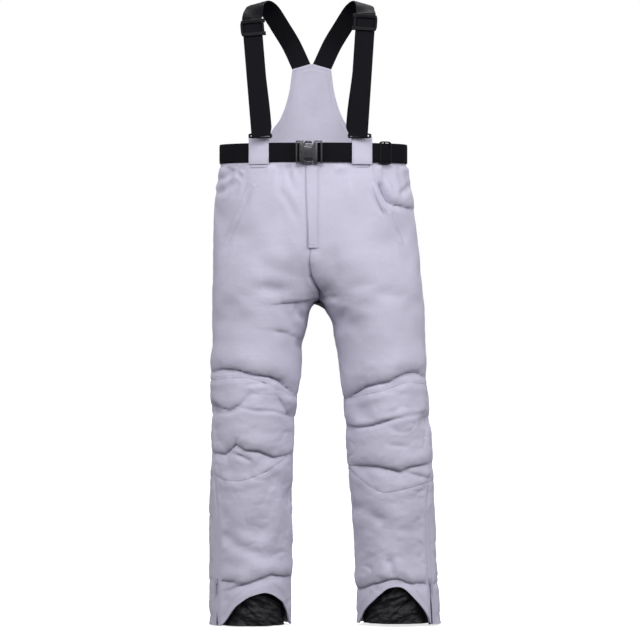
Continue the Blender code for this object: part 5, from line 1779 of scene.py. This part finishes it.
def make_studio():
    """White surroundings, lamps, floor and camera."""
    scene = bpy.context.scene
    scene.view_settings.view_transform = "Standard"
    world = bpy.data.worlds.new("studio")
    scene.world = world
    world.use_nodes = True
    nodes, links = world.node_tree.nodes, world.node_tree.links
    light = nodes["Background"]
    light.inputs["Color"].default_value = (0.97, 0.98, 1, 1)
    height = nodes.new("ShaderNodeSeparateXYZ")
    links.new(nodes.new("ShaderNodeTexCoord").outputs["Generated"], height.inputs[0])
    strength = nodes.new("ShaderNodeMapRange")
    for key, value in (("From Min", -1), ("From Max", 1), ("To Min", 0.01), ("To Max", 0.64)):
        strength.inputs[key].default_value = value
    links.new(height.outputs["Z"], strength.inputs["Value"])
    links.new(strength.outputs[0], light.inputs["Strength"])
    seen = nodes.new("ShaderNodeBackground")
    seen.inputs["Strength"].default_value = 1.0
    seen.inputs["Color"].default_value = (1, 1, 1, 1)
    mix, path = nodes.new("ShaderNodeMixShader"), nodes.new("ShaderNodeLightPath")
    links.new(path.outputs["Is Camera Ray"], mix.inputs[0])
    links.new(light.outputs[0], mix.inputs[1])
    links.new(seen.outputs[0], mix.inputs[2])
    links.new(mix.outputs[0], nodes["World Output"].inputs[0])

    low, _ = CAD_BOX
    mesh = bpy.data.meshes.new("floor")
    half, z = 30.0, low.z - 0.002
    corners = [(-half, -half, z), (half, -half, z), (half, half, z), (-half, half, z)]
    mesh.from_pydata(corners, [], [(0, 1, 2, 3)])
    s = Surface("floor")
    s.shader.inputs["Emission Color"].default_value = (1, 1, 1, 1)
    s.shader.inputs["Emission Strength"].default_value = 0.75
    place = s.place(cloth=False)
    mottled = s.colours(s.noise(place, 3, 2), (0.3, (0.9, 0.9, 0.9)), (0.7, (0.92, 0.92, 0.92)))
    mesh.materials.append(s.link(base_color=mottled, roughness=s.ramp(s.noise(place, 9, 2), 0.8, 0.9)))
    floor = bpy.data.objects.new("floor", mesh)
    floor.visible_diffuse = floor.visible_glossy = False
    scene.collection.objects.link(floor)

    # name, place, height of the target, size, power
    lamps = (("key", (-0.2, -2.3, 1.5), -0.3, 1.4, 40), ("fill", (2.3, -1.8, 0.9), 0.0, 1.4, 46),
             ("left", (-2.3, -1.8, 0.9), 0.0, 1.4, 28), ("back", (0.3, 1.8, 1.6), -0.2, 1.2, 30))
    for name, place, target_z, size, power in lamps:
        area_light(name, place, (0, 0, target_z), size, power)

    camera = bpy.data.objects.new("camera", bpy.data.cameras.new("camera"))
    distance, seen_height, sensor = 7.056, 1.325, 36
    camera.location = (0.0145, -7.1, -0.365)
    camera.rotation_euler = (math.radians(90), 0, 0)
    camera.data.lens = sensor * distance / seen_height
    camera.data.clip_end = 200
    scene.collection.objects.link(camera)
    scene.camera = camera


# ---------------------------------------------------------------- everything

grids = {side: rest_grid(side) for side in SIDES}
grids = puffed(grids)
for side in SIDES:
    grid = settle(side, refine(grids[side]))
    grid = drawn_back(creased(side, drawn_aside(grid), FRONT_FOLDS, FRONT_RIDGES, FRONT_DENTS, True))
    grid = creased(side, grid, BACK_FOLDS, BACK_RIDGES, (), False)
    grid = along_zip(side, knee_middle(side, dressed(side, grid)))
    grids[side] = opened(drawn_aside(settle(side, grid)))
make_legs(grids)
points = np.concatenate([grids[side].reshape(-1, 3) for side in SIDES])
count = grids["right"][..., 0].size
index = np.arange(count).reshape(grids["right"].shape[:2])
quads = quads_of(index)
CLOTH_TREE = BVHTree.FromPolygons(points.tolist(), np.concatenate([quads, quads + count]).tolist())
for side in SIDES:
    make_lining(side, grids[side])
    make_gaiter(side)
    make_leg_zip(side, grids[side])
    make_waistband(side)
    make_pocket(side, CLOTH_TREE)
    make_tab(side)
    make_back_loop(side)
    make_suspender(side)
make_fly(CLOTH_TREE)
make_gusset()
make_belt()
make_bib()
make_hardware()
make_studio()
